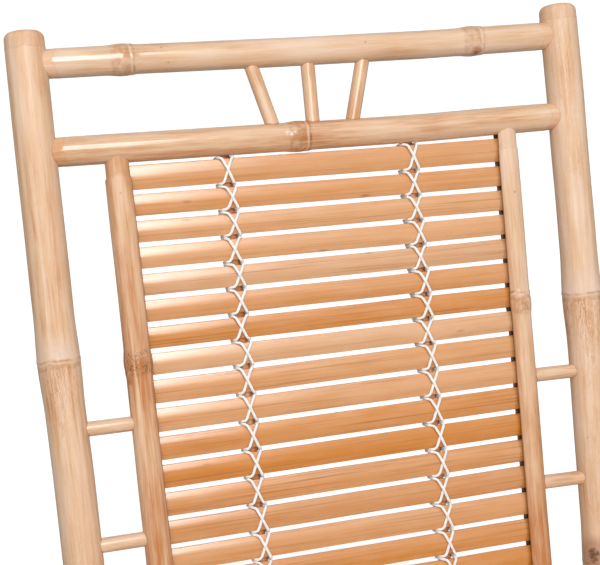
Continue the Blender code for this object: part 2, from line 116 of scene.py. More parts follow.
SLAT_END_GAP = 0.005
SLAT_GAP = 0.00465
GROOVE_DEPTH = 0.007
STRAND_PITCH = 0.00225
STRAND_RADIUS = 0.0009
CORD_TAIL = 0.003
BACK_LACING_SPREAD = 0.094
SEAT_LACING_SPREAD = 0.120
BATTEN_DEPTH = 0.0088052
SEAT_BATTEN_DEPTH = 0.0081052
ARM_RISE = 0.176
ARM_PITCH = math.radians(4.0)
ARM_OVERHANG = 0.050
ARM_STRUT_FORWARD = 0.210
LEG_LEAN = math.radians(4.0)
LEG_SPLAY = math.radians(8.0)
BEND_DROP = 0.045
BEND_RADIUS = 0.160
FRONT_STRETCHER_HEIGHT = 0.210
REAR_STRETCHER_HEIGHT = 0.165
ROCKER_AXIS_RADIUS = 1.080
ROCKER_OVERHANG = 0.066
ROCKER_CENTRE = Vector((0, 0, 1.0979285))
RECLINE = math.atan2(-DOWN.y, -DOWN.z)
POST_RISE = (TOP - CREST).length + POST_CROWN
ARM_REAR = REAR - ARM_RISE * DOWN
ARM_FORWARD = Vector((0, -math.cos(ARM_PITCH), math.sin(ARM_PITCH)))
LEG_UP = Vector((0, math.sin(LEG_LEAN), math.cos(LEG_LEAN)))

# Where the real pieces lie a few millimetres off the solids
FAN_LEAN = 0.0024
SPINDLE_FORWARD = 0.0035
FIRST_SLAT_EXTRA = 0.003
SLOT_HALF_WIDTH = 0.0058
LEFT_DRAW = 0.0042
RIGHT_DRAW = 0.0012
TURN_DEPTH = 0.0022
EDGE_DROP = 0.0009
HAND_PLAY = 0.0018

# Fine shape of a culm: reaches along it, heights and depths in metres, and shares of its own size
LIP_REACH = 0.0030
LIP_HEIGHT = 0.00035
NICK_REACH = 0.0020
NICK_DEPTH = 0.0001
BUD_REACH = 0.007
BUD_HEIGHT = 0.0008
COLLAR_EDGE = 0.004
FADE_START = 0.030
FADE_END = 0.012
KNUCKLE_CLEAR = 0.007
WANDER_EASE = 0.1
COPE_REACH = 0.045
COPE_SHARE = 0.45
EASE_SHARE = 0.6
SKIN_DEPTH = 0.001

# Patterns that shape culms and slats, in waves per metre, and the length that each culm has to itself.
# The second bow number sets one slat apart from the next.
WANDER_WAVES = 5.0
RAGGED_WAVES = 75.0
UNEVEN_WAVES = (30.0, 30.0, 8.0)
BOW_WAVES = (6.0, 7.3, 1.0)
OWN_PATTERN = 10.0

# Working values of the trees and paths
NO_KNUCKLE = -10.0
FAR_AWAY = 1000.0
FINE_RINGS_REACH = 0.024
RAY_LENGTH = 0.2
SLAT_RINGS = 49
CROWN_POINTS = 8
CORNER_POINTS = 4
LOBE_POINTS = 6
LOBE_DEPTH = 0.10
BEND_POINTS = 12
BEND_STEPS = 6
ROCKER_STEPS = 80

# The stage: the photograph's camera, how far down the back the lamps point, and half the floor's width
CAMERA_PLACE = CREST + Vector((-0.3427, -1.1984, 0.3188))
CAMERA_YAW = math.radians(15.2)
CAMERA_PITCH = math.radians(20.9)
LAMP_AIM_DROP = 0.15
FLOOR_HALF = 12

# Lowest and highest tone of a slat, and what each slat adds to the one before: painted shade that makes
# the slats darker row by row
SLAT_TONES = (-0.25, 0.75)
SLAT_SHADE_TREND = 0.030

# How a culm looks where its operator says nothing else
PLAIN_CULM = {
    "growth": 1, "bud_turn": 0.0, "bud_beyond": 0.0055, "bud_size": 1.0, "knots": 0.5, "stain": 0.3,
    "flaws": 0.1, "gloss": 0.8, "tone": 0.5, "drift": 0.0, "band": 0.020, "collar": 0.0,
    "collar_depth": 0.0002,
}

# Attributes that tell the lacquered bamboo where it is on its culm and how that culm looks
CULM_MARKS = ("past_lip", "in_band", "here", "bud", "rim", "collar", "joint", "flaw", "radius", "knots",
              "stain", "flaws", "gloss", "tone")

# Nodes that are used often
MATH = "ShaderNodeMath"
VECTOR = "ShaderNodeVectorMath"
RANGE = "ShaderNodeMapRange"
MIX = "ShaderNodeMix"
NOISE = "ShaderNodeTexNoise"
CELLS = "ShaderNodeTexVoronoi"
MAPPING = "ShaderNodeMapping"
JOIN = "ShaderNodeCombineXYZ"
SPLIT = "ShaderNodeSeparateXYZ"
STORE = "GeometryNodeStoreNamedAttribute"
READ = "GeometryNodeInputNamedAttribute"
MOVE = "GeometryNodeSetPosition"
RANDOM = "FunctionNodeRandomValue"
SMOOTH = {"interpolation_type": "SMOOTHSTEP"}


def linear(code):
    """Linear red, green and blue of an sRGB hex colour."""
    channels = [int(code[index:index + 2], 16) / 255 for index in (1, 3, 5)]
    return [c / 12.92 if c <= 0.04045 else ((c + 0.055) / 1.055) ** 2.4 for c in channels]


def colour(name, description, code):
    return FloatVectorProperty(name=name, description=description, subtype="COLOR", size=3, min=0.0, max=1.0,
                               default=linear(code))


def metres(name, description, default):
    return FloatProperty(name=name, description=description, default=default, unit="LENGTH")


def watts(name, description, default):
    return FloatProperty(name=name, description=description, default=default, unit="POWER")


class CulmSettings(bpy.types.PropertyGroup):
    """Shape of the bamboo poles"""

    sides: IntProperty(name="Sides", description="Facets round a pole", default=40, min=12)
    ring_step: metres("Ring step", "Distance of the rings at knuckles and ends", 0.0008)
    ring_skip: IntProperty(name="Ring skip", description="One ring in so many is kept between the knuckles",
                           default=6, min=1)
    knuckle_height: metres("Knuckle height", "How far a knuckle's swelling stands out", 0.0013)
    raggedness: metres("Raggedness", "How far a knuckle's line strays along the pole", 0.0075)
    wander: metres("Wander", "How far a pole strays from its straight line", 0.0022)
    unevenness: metres("Unevenness", "How far a pole strays from its round section", 0.0011)
    end_ease: metres("End rounding", "Rounding of a free end", 0.0075)
    wall: metres("Wall", "Wall of the slit poles", 0.0042)
    tuck: metres("Tuck", "How far a coped end is let into its mate", 0.0004)


class SlatSettings(bpy.types.PropertyGroup):
    """Shape of the split bamboo slats"""

    crown: metres("Crown", "Rise of a slat's front between its edges", 0.0019)
    edge: metres("Edge rounding", "Rounding of a slat's long edges", 0.0007)
    roll: FloatProperty(name="Roll", description="How far slats are turned about their length",
                        default=math.radians(1.4), subtype="ANGLE")
    bow: metres("Bow", "How far a slat strays from its straight line", 0.0016)


class LacingSettings(bpy.types.PropertyGroup):
    """Shape of the lacing cord"""

    diameter: metres("Diameter", "Thickness of the cord", 0.0029)
    plies: IntProperty(name="Plies", description="Yarns that are twisted into the cord", default=3, min=2)
    twist: metres("Twist", "Length of one turn of the yarns", 0.0062)
    bend: metres("Bend", "Radius of the cord's bends", 0.0050)


class FinishSettings(bpy.types.PropertyGroup):
    """Colours of the chair"""

    culm_pale: colour("Culm pale", "Palest skin of the poles", "#F0D3BB")
    culm_tan: colour("Culm tan", "Common skin of the poles", "#E4BB95")
    culm_bloom: colour("Culm bloom", "Pinkish bloom beyond a knuckle", "#EFD7C8")
    culm_deep: colour("Culm deep", "Deepest streaks of the poles", "#C47F4A")
    knuckle_brown: colour("Knuckle brown", "Scarred band at a knuckle", "#AC7042")
    # The scar colour also paints the shade at the joints' seams and the near-black shade inside the slit
    # culms
    scar_and_shade_dark: colour("Scar", "Lines and eyes of a knuckle", "#5E3A22")
    slat_pale: colour("Slat pale", "Palest slats", "#E8B384")
    slat_honey: colour("Slat honey", "Deepest slats", "#D5831C")
    slat_deep: colour("Slat deep", "Fibre lines and knots of the slats", "#9C5A28")
    cord_white: colour("Cord", "Bleached cotton", "#FFFEFB")
    floor: colour("Floor", "Studio floor", "#A09E9A")


class StageSettings(bpy.types.PropertyGroup):
    """Camera and light"""

    lens: FloatProperty(name="Lens", description="Focal length in millimetres", default=78.0)
    key_power: watts("Key", "Power of the light above the front", 30.5)
    left_power: watts("Left", "Power of the light at the left", 11.8)
    right_power: watts("Right", "Power of the light at the right", 13.6)
    sky: FloatProperty(name="Sky", description="Strength of the light from all round", default=0.34)


class ChairSettings(bpy.types.PropertyGroup):
    """Everything that a user would change on the chair"""

    culm: PointerProperty(type=CulmSettings)
    slat: PointerProperty(type=SlatSettings)
    lacing: PointerProperty(type=LacingSettings)
    finish: PointerProperty(type=FinishSettings)
    stage: PointerProperty(type=StageSettings)


# Poles made so far, and what is made once and shared
poles = {}
shared = {}


def once(maker, *given):
    """What a maker makes, which is made at the first call and shared after it."""
    if maker not in shared:
        shared[maker] = maker(*given)
    return shared[maker]


def connect(tree, node, inputs):
    """Set a node's inputs. Each is a value, a socket, or a node whose first open output is linked."""
    for key, value in inputs.items() if isinstance(inputs, dict) else enumerate(inputs):
        if isinstance(value, bpy.types.Node):
            value = next(socket for socket in value.outputs if socket.enabled)
        if isinstance(value, bpy.types.NodeSocket):
            tree.links.new(value, node.inputs[key])
        else:
            node.inputs[key].default_value = value


def add_node(tree, kind, inputs=(), operation=None, **settings):
    """Add a node with its settings and links."""
    node = tree.nodes.new(kind)
    if operation:
        node.operation = operation
    for name, value in settings.items():
        setattr(node, name, value)
    connect(tree, node, inputs)
    return node


def plain_name(socket):
    """A tree's input as it is named in the script: Ring Step is ring_step."""
    return socket.lower().replace(" ", "_")


def new_tree(name, sockets):
    """An empty geometry tree, the function that adds its nodes, and its inputs under their plain names."""
    tree = bpy.data.node_groups.new(name, "GeometryNodeTree")
    kinds = {socket: kind for kind, names in sockets.items() for socket in names.split(", ")}
    for socket, kind in kinds.items():
        tree.interface.new_socket(socket, in_out="INPUT", socket_type="NodeSocket" + kind)
    tree.interface.new_socket("Piece", in_out="OUTPUT", socket_type="NodeSocketGeometry")
    add = partial(add_node, tree)
    given = add("NodeGroupInput").outputs
    return tree, add, SimpleNamespace(**{plain_name(socket): given[socket] for socket in kinds})


def sweep(add, line, section, spoke=None):
    """Run a section along a curve. Its corners keep their place in the section under the spoke's name."""
    section = add("GeometryNodeObjectInfo", (section,)).outputs["Geometry"]
    section = add("GeometryNodeMeshToCurve", (section,))
    if spoke:
        place = add("GeometryNodeInputPosition")
        section = add(STORE, {"Geometry": section, "Name": spoke, "Value": place}, data_type="FLOAT_VECTOR")
    return add("GeometryNodeCurveToMesh",
               {"Curve": line, "Profile Curve": section, "Scale": 1.0, "Fill Caps": True})


def close_tree(add, geometry, material):
    """Smooth shading, plain geometry and the material, and then the tree's output."""
    smooth = add("GeometryNodeSetShadeSmooth", (geometry,))
    plain = add("GeometryNodeRemoveAttribute", {"Geometry": smooth, "Name": "build_*"},
                pattern_mode="WILDCARD")
    real = add("GeometryNodeRealizeInstances", (plain,))
    coated = add("GeometryNodeSetMaterial", {"Geometry": real, "Material": material})
    add("NodeGroupOutput", (coated,))


def put(name, data):
    thing = bpy.data.objects.new(name, data)
    bpy.context.scene.collection.objects.link(thing)
    return thing


def line_object(name, points, closed=False):
    """A mesh of edges through the points, which a tree reads as a path or a section."""
    edges = [(index, index + 1) for index in range(len(points) - 1)]
    if closed:
        edges.append((len(points) - 1, 0))
    mesh = bpy.data.meshes.new(name)
    mesh.from_pydata([tuple(point) for point in points], edges, [])
    return put(name, mesh)


def discard(thing):
    mesh = thing.data
    bpy.data.objects.remove(thing, do_unlink=True)
    bpy.data.meshes.remove(mesh)


def make(tree_maker, finish_maker, path, outline, **values):
    """The plain mesh that a tree makes of a path and a closed section, in its finish.

    The other values go to the tree's inputs of those plain names.
    """
    tree = once(tree_maker)
    material = once(finish_maker, bpy.context.scene.chair.finish)
    section = line_object("section", outline, closed=True)
    host = line_object("path", path)
    values |= {"section": section, "material": material}
    change = host.modifiers.new(tree.name, "NODES")
    change.node_group = tree
    for item in tree.interface.items_tree:
        name = plain_name(item.name)
        if item.in_out == "INPUT" and name in values:
            value = values[name]
            change[item.identifier] = float(value) if item.socket_type == "NodeSocketFloat" else value
    graph = bpy.context.evaluated_depsgraph_get()
    mesh = bpy.data.meshes.new_from_object(host.evaluated_get(graph), depsgraph=graph)
    host.modifiers.remove(change)
    discard(host)
    discard(section)
    return mesh


def dress(name, mesh, slot, *nodes):
    """Put a finished mesh in the scene as the piece that stands for its solids."""
    if not mesh.polygons:
        raise RuntimeError(f"{name} came out empty")
    mesh.name = name
    piece = put(name, mesh)
    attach(piece, "root")
    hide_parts(*nodes)
    return piece


def culm_tree():
    """Bamboo culm: a section swept along a path, with knuckles, buds, rounded free ends and coped ends."""
    tree, add, given = new_tree("Bamboo culm", {
        "Geometry": "Path",
        "Object": "Section, Start Mate, End Mate",
        "Vector": "Facing",
        "Float": "Radius, Ring Step, Ring Skip, Knuckle First, Knuckle Spacing, Last Knuckle, "
                 "Knuckle Height, Swell Reach, Band, Raggedness, Growth, Bud Turn, Bud Beyond, Bud Size, "
                 "Knots, Stain, Flaws, Gloss, Tone, Drift, Round Start, Round End, Collar, Collar Depth, "
                 "Cope Reach, Tuck, Wander, Unevenness, Seed",
        "Material": "Material",
    })
    position = add("GeometryNodeInputPosition")

    # Rings along the path, close together only at knuckles and ends
    line = add("GeometryNodeMeshToCurve", (given.path,))
    line = add("GeometryNodeResampleCurve", {"Curve": line, "Length": given.ring_step}, mode="LENGTH")
    along = add("GeometryNodeSplineParameter").outputs["Length"]
    length = add("GeometryNodeSplineLength").outputs["Length"]
    remaining = add(MATH, (length, along), "SUBTRACT")
    nearest_end = add(MATH, (along, remaining), "MINIMUM")
    past_first = add(MATH, (along, given.knuckle_first), "SUBTRACT")
    number = add(MATH, (past_first, given.knuckle_spacing), "DIVIDE")
    number = add(MATH, (number,), "ROUND")
    number = add(MATH, (number, 0.0), "MAXIMUM")
    number = add(MATH, (number, given.last_knuckle), "MINIMUM")
    start = add(MATH, (number, given.knuckle_spacing), "MULTIPLY")
    past = add(MATH, (past_first, start), "SUBTRACT")
    stray = add(NOISE, {"Vector": position, "W": given.seed, "Scale": WANDER_WAVES, "Detail": 1.0},
                noise_dimensions="4D")
    stray = add(VECTOR, (stray.outputs["Color"], (0.5, 0.5, 0.5)), "SUBTRACT")
    freedom = add(RANGE, (nearest_end, 0.0, WANDER_EASE, 0.0, 1.0), **SMOOTH)
    freedom = add(MATH, (freedom, given.wander), "MULTIPLY")
    stray = add(VECTOR, {"Vector": stray, "Scale": freedom}, "SCALE")
    line = add(MOVE, {"Geometry": line, "Offset": stray})
    heading = add("GeometryNodeInputTangent")
    numbers = {"along": along, "remaining": remaining, "number": number, "past": past}
    vectors = {"axis": position, "heading": heading}
    for kind, values in (("FLOAT", numbers), ("FLOAT_VECTOR", vectors)):
        for name, value in values.items():
            line = add(STORE, {"Geometry": line, "Name": "build_" + name, "Value": value}, data_type=kind)
    distance = add(MATH, (past,), "ABSOLUTE")
    distance = add(MATH, (distance, nearest_end), "MINIMUM")
    plain = add(MATH, (distance, FINE_RINGS_REACH), "GREATER_THAN")
    index = add("GeometryNodeInputIndex")
    skipped = add(MATH, (index, given.ring_skip), "MODULO")
    skipped = add(MATH, (skipped, 0.5), "GREATER_THAN")
    skipped = add(MATH, (skipped, plain), "MULTIPLY")
    line = add("GeometryNodeDeleteGeometry", {"Geometry": line, "Selection": skipped}, domain="POINT")

    # The section, turned so that its X axis looks the way the culm faces
    lean = add(VECTOR, (given.facing, heading), "PROJECT")
    square = add(VECTOR, (given.facing, lean), "SUBTRACT")
    square = add(VECTOR, (square,), "NORMALIZE")
    line = add("GeometryNodeSetCurveNormal", {"Curve": line, "Normal": square}, mode="FREE")
    culm = sweep(add, line, given.section, "build_spoke")
    read = SimpleNamespace()
    for kind, names in (("FLOAT", numbers), ("FLOAT_VECTOR", (*vectors, "spoke"))):
        for name in names:
            setattr(read, name, add(READ, {"Name": "build_" + name}, data_type=kind))

    # Knuckle: a broad swelling, a scarred band about its middle, a ragged lip and a nick at the band's sides
    seeded = add(MATH, (read.number, given.seed), "ADD")
    ragged = add(NOISE, {"Vector": read.spoke, "W": seeded, "Scale": RAGGED_WAVES, "Detail": 3.0},
                 noise_dimensions="4D")
    ragged = add(MATH, (ragged, 0.5), "SUBTRACT")
    ragged = add(MATH, (ragged, given.raggedness), "MULTIPLY")
    ragged = add(MATH, (ragged, read.past), "ADD")
    beyond = add(MATH, (ragged, given.growth), "MULTIPLY")
    half_band = add(MATH, (given.band, 0.5), "MULTIPLY")
    past_lip = add(MATH, (beyond, half_band), "SUBTRACT")
    in_band = add(MATH, (past_lip, given.band), "ADD")
    off_knuckle = add(MATH, (read.past,), "ABSOLUTE")
    swelling = add(RANGE, (off_knuckle, 0.0, given.swell_reach, 1.0, 0.0), **SMOOTH)
    lift = add(MATH, (swelling, given.knuckle_height), "MULTIPLY")
    for spot, reach, height, change in ((past_lip, LIP_REACH, LIP_HEIGHT, "ADD"),
                                        (in_band, NICK_REACH, NICK_DEPTH, "SUBTRACT")):
        near = add(MATH, (spot,), "ABSOLUTE")
        near = add(RANGE, (near, 0.0, reach, height, 0.0), **SMOOTH)
        lift = add(MATH, (lift, near), change)

    # Buds stand on alternate sides of the culm, just beyond each lip
    turn = add(MATH, (read.number, math.pi, given.bud_turn), "MULTIPLY_ADD")
    cosine = add(MATH, (turn,), "COSINE")
    sine = add(MATH, (turn,), "SINE")
    bud = add(JOIN, (cosine, sine, 0.0))
    bud = add(VECTOR, {"Vector": bud, "Scale": given.radius}, "SCALE")
    bud_across = add(VECTOR, (read.spoke, bud), "DISTANCE")
    bud_along = add(MATH, (past_lip, given.bud_beyond), "SUBTRACT")
    off_bud = add(JOIN, (bud_across, bud_along, 0.0))
    off_bud = add(VECTOR, (off_bud,), "LENGTH")
    off_bud = add(MATH, (off_bud, given.bud_size), "DIVIDE")
    bump = add(RANGE, (off_bud, 0.0, BUD_REACH, BUD_HEIGHT, 0.0), **SMOOTH)

    # Slow unevenness, the rounding of free ends and the sanded collars, on the outer skin alone
    spoke = add(SPLIT, (read.spoke,)).outputs
    own_length = add(MATH, (given.seed, OWN_PATTERN, read.along), "MULTIPLY_ADD")
    fibre = add(JOIN, (spoke["X"], spoke["Y"], own_length))
    slow = add(VECTOR, (fibre, UNEVEN_WAVES), "MULTIPLY")
    uneven = add(NOISE, {"Vector": slow, "Scale": 1.0, "Detail": 1.0})
    uneven = add(MATH, (uneven, 0.5), "SUBTRACT")
    offset = add(MATH, (uneven, given.unevenness, lift), "MULTIPLY_ADD")
    offset = add(MATH, (offset, bump), "ADD")
    ends = ((given.round_start, read.along), (given.round_end, read.remaining))
    for ease, spot in ends:
        share = add(MATH, (spot, ease), "DIVIDE")
        share = add(MATH, (1.0, share), "SUBTRACT", use_clamp=True)
        share = add(MATH, (share, share), "MULTIPLY")
        share = add(MATH, (1.0, share), "SUBTRACT")
        share = add(MATH, (share,), "SQRT")
        share = add(MATH, (1.0, share), "SUBTRACT")
        drop = add(MATH, (share, ease), "MULTIPLY")
        offset = add(MATH, (offset, drop), "SUBTRACT")
    collar = add(MATH, (read.along, read.remaining), "MINIMUM")
    collar = add(MATH, (collar, given.collar), "SUBTRACT")
    sanding = add(RANGE, (collar, -COLLAR_EDGE, 0.0, given.collar_depth, 0.0), **SMOOTH)
    offset = add(MATH, (offset, sanding), "SUBTRACT")
    reach = add(VECTOR, (read.spoke,), "LENGTH")
    rim = add(MATH, (given.radius, SKIN_DEPTH), "SUBTRACT")
    skin = add(MATH, (reach, rim), "GREATER_THAN")
    offset = add(MATH, (offset, skin), "MULTIPLY")
    outward = add(VECTOR, (position, read.axis), "SUBTRACT")
    outward = add(VECTOR, (outward,), "NORMALIZE")
    offset = add(VECTOR, {"Vector": outward, "Scale": offset}, "SCALE")
    culm = add(MOVE, {"Geometry": culm, "Offset": offset})

    # Coped ends: each line of the skin is run on or cut back along the culm until it meets the mate
    for mate, spot, sign in ((given.start_mate, read.along, 1.0), (given.end_mate, read.remaining, -1.0)):
        target = add("GeometryNodeObjectInfo", (mate,)).outputs["Geometry"]
        step = add(MATH, (given.cope_reach, spot), "SUBTRACT")
        step = add(MATH, (step, sign), "MULTIPLY")
        step = add(VECTOR, {"Vector": read.heading, "Scale": step}, "SCALE")
        source = add(VECTOR, (position, step), "ADD")
        aim = add(VECTOR, {"Vector": read.heading, "Scale": -sign}, "SCALE")
        ray = add("GeometryNodeRaycast", {"Target Geometry": target, "Source Position": source,
                                          "Ray Direction": aim, "Ray Length": RAY_LENGTH}).outputs
        gap = add(MATH, (given.cope_reach, ray["Hit Distance"]), "SUBTRACT")
        gap = add(MATH, (gap, given.tuck), "SUBTRACT")
        share = add(MATH, (spot, given.cope_reach), "DIVIDE")
        share = add(MATH, (1.0, share), "SUBTRACT", use_clamp=True)
        for factor in (ray["Is Hit"], share, sign):
            gap = add(MATH, (gap, factor), "MULTIPLY")
        shift = add(VECTOR, {"Vector": read.heading, "Scale": gap}, "SCALE")
        culm = add(MOVE, {"Geometry": culm, "Offset": shift})

    # What the lacquered bamboo reads. A knuckle's marks fade before halfway to the next, and free ends have
    # no joint near.
    here = add(MATH, (given.knuckle_spacing, -0.5, off_knuckle), "MULTIPLY_ADD")
    here = add(RANGE, (here, -FADE_START, -FADE_END, 1.0, 0.0))
    coped = [add(MATH, (ease, FAR_AWAY, spot), "MULTIPLY_ADD") for ease, spot in ends]
    joint = add(MATH, coped, "MINIMUM")
    rim = add(MATH, (reach, given.radius), "DIVIDE")
    tone = add(MATH, (read.along, given.drift, given.tone), "MULTIPLY_ADD")
    culm = add(STORE, {"Geometry": culm, "Name": "fibre", "Value": fibre}, data_type="FLOAT_VECTOR")
    marks = (past_lip, in_band, here, off_bud, rim, collar, joint, ragged, given.radius, given.knots,
             given.stain, given.flaws, given.gloss, tone)
    for name, value in zip(CULM_MARKS, marks):
        culm = add(STORE, {"Geometry": culm, "Name": name, "Value": value}, data_type="FLOAT")
    close_tree(add, culm, given.material)
    return tree


def slat_tree():
    """A row of split bamboo slats. The first ones may be narrow, and all sway between the two rails."""
    tree, add, given = new_tree("Split bamboo slats", {
        "Geometry": "Path",
        "Object": "Section",
        "Int": "Count, Seed",
        "Vector": "Origin, Along, Out",
        "Float": "Section Width, Narrow Count, Narrow Pitch, Pitch, First, Gap, Half Length, Taper, Sway, "
                 "Panel Length, First Extra, Roll, Bow",
        "Material": "Material",
    })

    # One blank slat of half length 1, whose section keeps its size
    line = add("GeometryNodeCurvePrimitiveLine", {"Start": (-1.0, 0.0, 0.0), "End": (1.0, 0.0, 0.0)})
    line = add("GeometryNodeResampleCurve", {"Curve": line, "Count": SLAT_RINGS}, mode="COUNT")
    line = add("GeometryNodeSetCurveNormal", {"Curve": line, "Normal": (0.0, 1.0, 0.0)}, mode="FREE")
    blank = sweep(add, line, given.section)
    position = add("GeometryNodeInputPosition")
    blank = add(STORE, {"Geometry": blank, "Name": "build_blank", "Value": position},
                data_type="FLOAT_VECTOR")

    # Where each slat lies down the panel
    points = add("GeometryNodeMeshLine", {"Count": given.count, "Offset": (0.0, 0.0, 0.0)})
    index = add("GeometryNodeInputIndex")
    narrow = add(MATH, (index, given.narrow_count), "MINIMUM")
    wide = add(MATH, (index, narrow), "SUBTRACT")
    upper = add(MATH, (narrow, given.narrow_pitch, given.first), "MULTIPLY_ADD")
    upper = add(MATH, (wide, given.pitch, upper), "MULTIPLY_ADD")
    is_narrow = add(MATH, (index, given.narrow_count), "LESS_THAN")
    pitch = add(RANGE, (is_narrow, 0.0, 1.0, given.pitch, given.narrow_pitch))
    down = add(MATH, (pitch, 0.5, upper), "MULTIPLY_ADD")
    is_first = add(MATH, (index, 0.5), "LESS_THAN")
    extra = add(MATH, (is_first, given.first_extra), "MULTIPLY")
    pitch = add(MATH, (pitch, extra), "ADD")
    down = add(MATH, (extra, -0.5, down), "MULTIPLY_ADD")
    width = add(MATH, (pitch, given.gap), "SUBTRACT")
    width = add(MATH, (width, given.section_width), "DIVIDE")
    half = add(MATH, (down, given.taper, given.half_length), "MULTIPLY_ADD")
    share = add(MATH, (down, given.panel_length), "DIVIDE")
    share = add(MATH, (share, math.pi), "MULTIPLY")
    share = add(MATH, (share,), "SINE")
    share = add(MATH, (share, share), "MULTIPLY")
    slope = add(MATH, (share, given.sway), "MULTIPLY")
    shift = add(VECTOR, {"Vector": given.along, "Scale": down}, "SCALE")
    place = add(VECTOR, (given.origin, shift), "ADD")
    points = add(MOVE, {"Geometry": points, "Position": place})

    # Slats are laid by hand, so each is rolled a little
    lift = add(VECTOR, {"Vector": given.along, "Scale": slope}, "SCALE")
    across = add(VECTOR, (tuple(ACROSS), lift), "ADD")
    turn = add("FunctionNodeAxesToRotation", (across, given.out), primary_axis="X", secondary_axis="Z")
    least = add(MATH, (given.roll, -1.0), "MULTIPLY")
    roll = add(RANDOM, {2: least, 3: given.roll, "ID": index, "Seed": given.seed}, data_type="FLOAT")
    roll = add("FunctionNodeAxisAngleToRotation", {"Axis": (1.0, 0.0, 0.0), "Angle": roll})
    turn = add("FunctionNodeRotateRotation", (turn, roll), rotation_space="LOCAL")
    for name, value in (("number", index), ("half", half)):
        points = add(STORE, {"Geometry": points, "Name": "build_" + name, "Value": value}, data_type="FLOAT")
    scale = add(JOIN, (half, width, 1.0))
    slats = add("GeometryNodeInstanceOnPoints",
                {"Points": points, "Instance": blank, "Rotation": turn, "Scale": scale})
    slats = add("GeometryNodeRealizeInstances", (slats,))

    # A slow bow along each slat, and what the lacquered slats read
    blank = add(READ, {"Name": "build_blank"}, data_type="FLOAT_VECTOR")
    blank = add(SPLIT, (blank,)).outputs
    number = add(READ, {"Name": "build_number"}, data_type="FLOAT")
    half = add(READ, {"Name": "build_half"}, data_type="FLOAT")
    spot = add(MATH, (blank["X"], half), "MULTIPLY")
    own = add(MATH, (number, given.seed), "ADD")
    wave = add(JOIN, (spot, own, 0.0))
    wave = add(VECTOR, (wave, BOW_WAVES), "MULTIPLY")
    wave = add(NOISE, {"Vector": wave, "Scale": 1.0, "Detail": 1.0})
    wave = add(MATH, (wave, 0.5), "SUBTRACT")
    wave = add(MATH, (wave, given.bow), "MULTIPLY")
    bow = add(VECTOR, {"Vector": given.along, "Scale": wave}, "SCALE")
    slats = add(MOVE, {"Geometry": slats, "Offset": bow})
    fibre = add(JOIN, (spot, blank["Y"], own))
    # Painted shade: each slat is a little deeper than the one before, so the first rows look paler
    shade_trend = add(MATH, (number, SLAT_SHADE_TREND), "MULTIPLY")
    tone = add(RANDOM, {2: SLAT_TONES[0], 3: SLAT_TONES[1], "ID": number, "Seed": given.seed},
               data_type="FLOAT")
    tone = add(MATH, (tone, shade_trend), "ADD")
    slats = add(STORE, {"Geometry": slats, "Name": "fibre", "Value": fibre}, data_type="FLOAT_VECTOR")
    slats = add(STORE, {"Geometry": slats, "Name": "tone", "Value": tone}, data_type="FLOAT")
    close_tree(add, slats, given.material)
    return tree


def lacing_tree():
    """Twisted cord: a lobed section run along a route whose corners are eased into bends."""
    tree, add, given = new_tree("Twisted lacing cord", {
        "Geometry": "Path", "Object": "Section", "Float": "Bend, Step, Twist", "Material": "Material",
    })
    line = add("GeometryNodeMeshToCurve", (given.path,))
    line = add("GeometryNodeFilletCurve",
               {"Curve": line, "Count": BEND_STEPS, "Radius": given.bend, "Limit Radius": True}, mode="POLY")
    line = add("GeometryNodeResampleCurve", {"Curve": line, "Length": given.step}, mode="LENGTH")
    along = add("GeometryNodeSplineParameter").outputs["Length"]
    turns = add(MATH, (along, given.twist), "DIVIDE")
    turns = add(MATH, (turns, math.tau), "MULTIPLY")
    line = add("GeometryNodeSetCurveTilt", {"Curve": line, "Tilt": turns})
    line = add(STORE, {"Geometry": line, "Name": "along", "Value": along}, data_type="FLOAT")
    cord = sweep(add, line, given.section, "spoke")
    close_tree(add, cord, given.material)
    return tree


def side_x(height):
    """Distance of a side frame from the middle."""
    return CREST_HALF_WIDTH - SIDE_FLARE * (CREST.z - height)


def on_side(side, point):
    """A point of the middle plane moved out into a side frame."""
    return Vector((side * side_x(point.z), point.y, point.z))


def on_back(across, down, out=0.0):
    return CREST + across * ACROSS + down * DOWN + out * OUT


def on_seat(across, forward, out=0.0):
    return REAR + across * ACROSS + forward * FORWARD + out * SEAT_UP


def panel_x(down):
    return CREST_HALF_WIDTH - PANEL_INSET - PANEL_TAPER * down


def crossing(point, heading, other, bearing):
    """Where two lines of the middle plane cross."""
    gap = other - point
    turn = heading.y * bearing.z - heading.z * bearing.y
    return point + heading * ((gap.y * bearing.z - gap.z * bearing.y) / turn)


def onto_rocker(point, heading):
    """Where a line of the middle plane meets the rocker's axis."""
    offset = point - ROCKER_CENTRE
    along = offset.dot(heading)
    return point + heading * (math.sqrt(along**2 - offset.length_squared + ROCKER_AXIS_RADIUS**2) - along)


def post_bend():
    """Points of the bend under the seat, after its start."""
    start = on_back(0, BACK_LENGTH + BEND_DROP)
    bend = []
    for index in range(1, BEND_POINTS + 1):
        angle = (RECLINE + LEG_SPLAY) * index / BEND_POINTS - RECLINE
        back = BEND_RADIUS * (math.cos(RECLINE) - math.cos(angle))
        drop = BEND_RADIUS * (math.sin(RECLINE) + math.sin(angle))
        bend.append(start + Vector((0, back, -drop)))
    return bend


def rear_leg():
    """Start of the post's straight leg below the bend, and its foot on the rocker's axis."""
    start = post_bend()[-1]
    return start, onto_rocker(start, Vector((0, math.sin(LEG_SPLAY), -math.cos(LEG_SPLAY))))


def span(start, end, first_radius=0.0, last_radius=0.0):
    """Straight path between two axes, stopped short of each as the solids are."""
    heading = (end - start).normalized()
    return [start + heading * STOP_SHARE * first_radius, end - heading * STOP_SHARE * last_radius]


def between_sides(point, radius):
    """Level path from one side frame to the other."""
    return span(on_side(-1, point), on_side(1, point), radius, radius)


def round_section(radius, sides):
    """Outline of a whole culm."""
    turns = [math.tau * index / sides for index in range(sides)]
    return [(radius * math.cos(turn), radius * math.sin(turn), 0.0) for turn in turns]


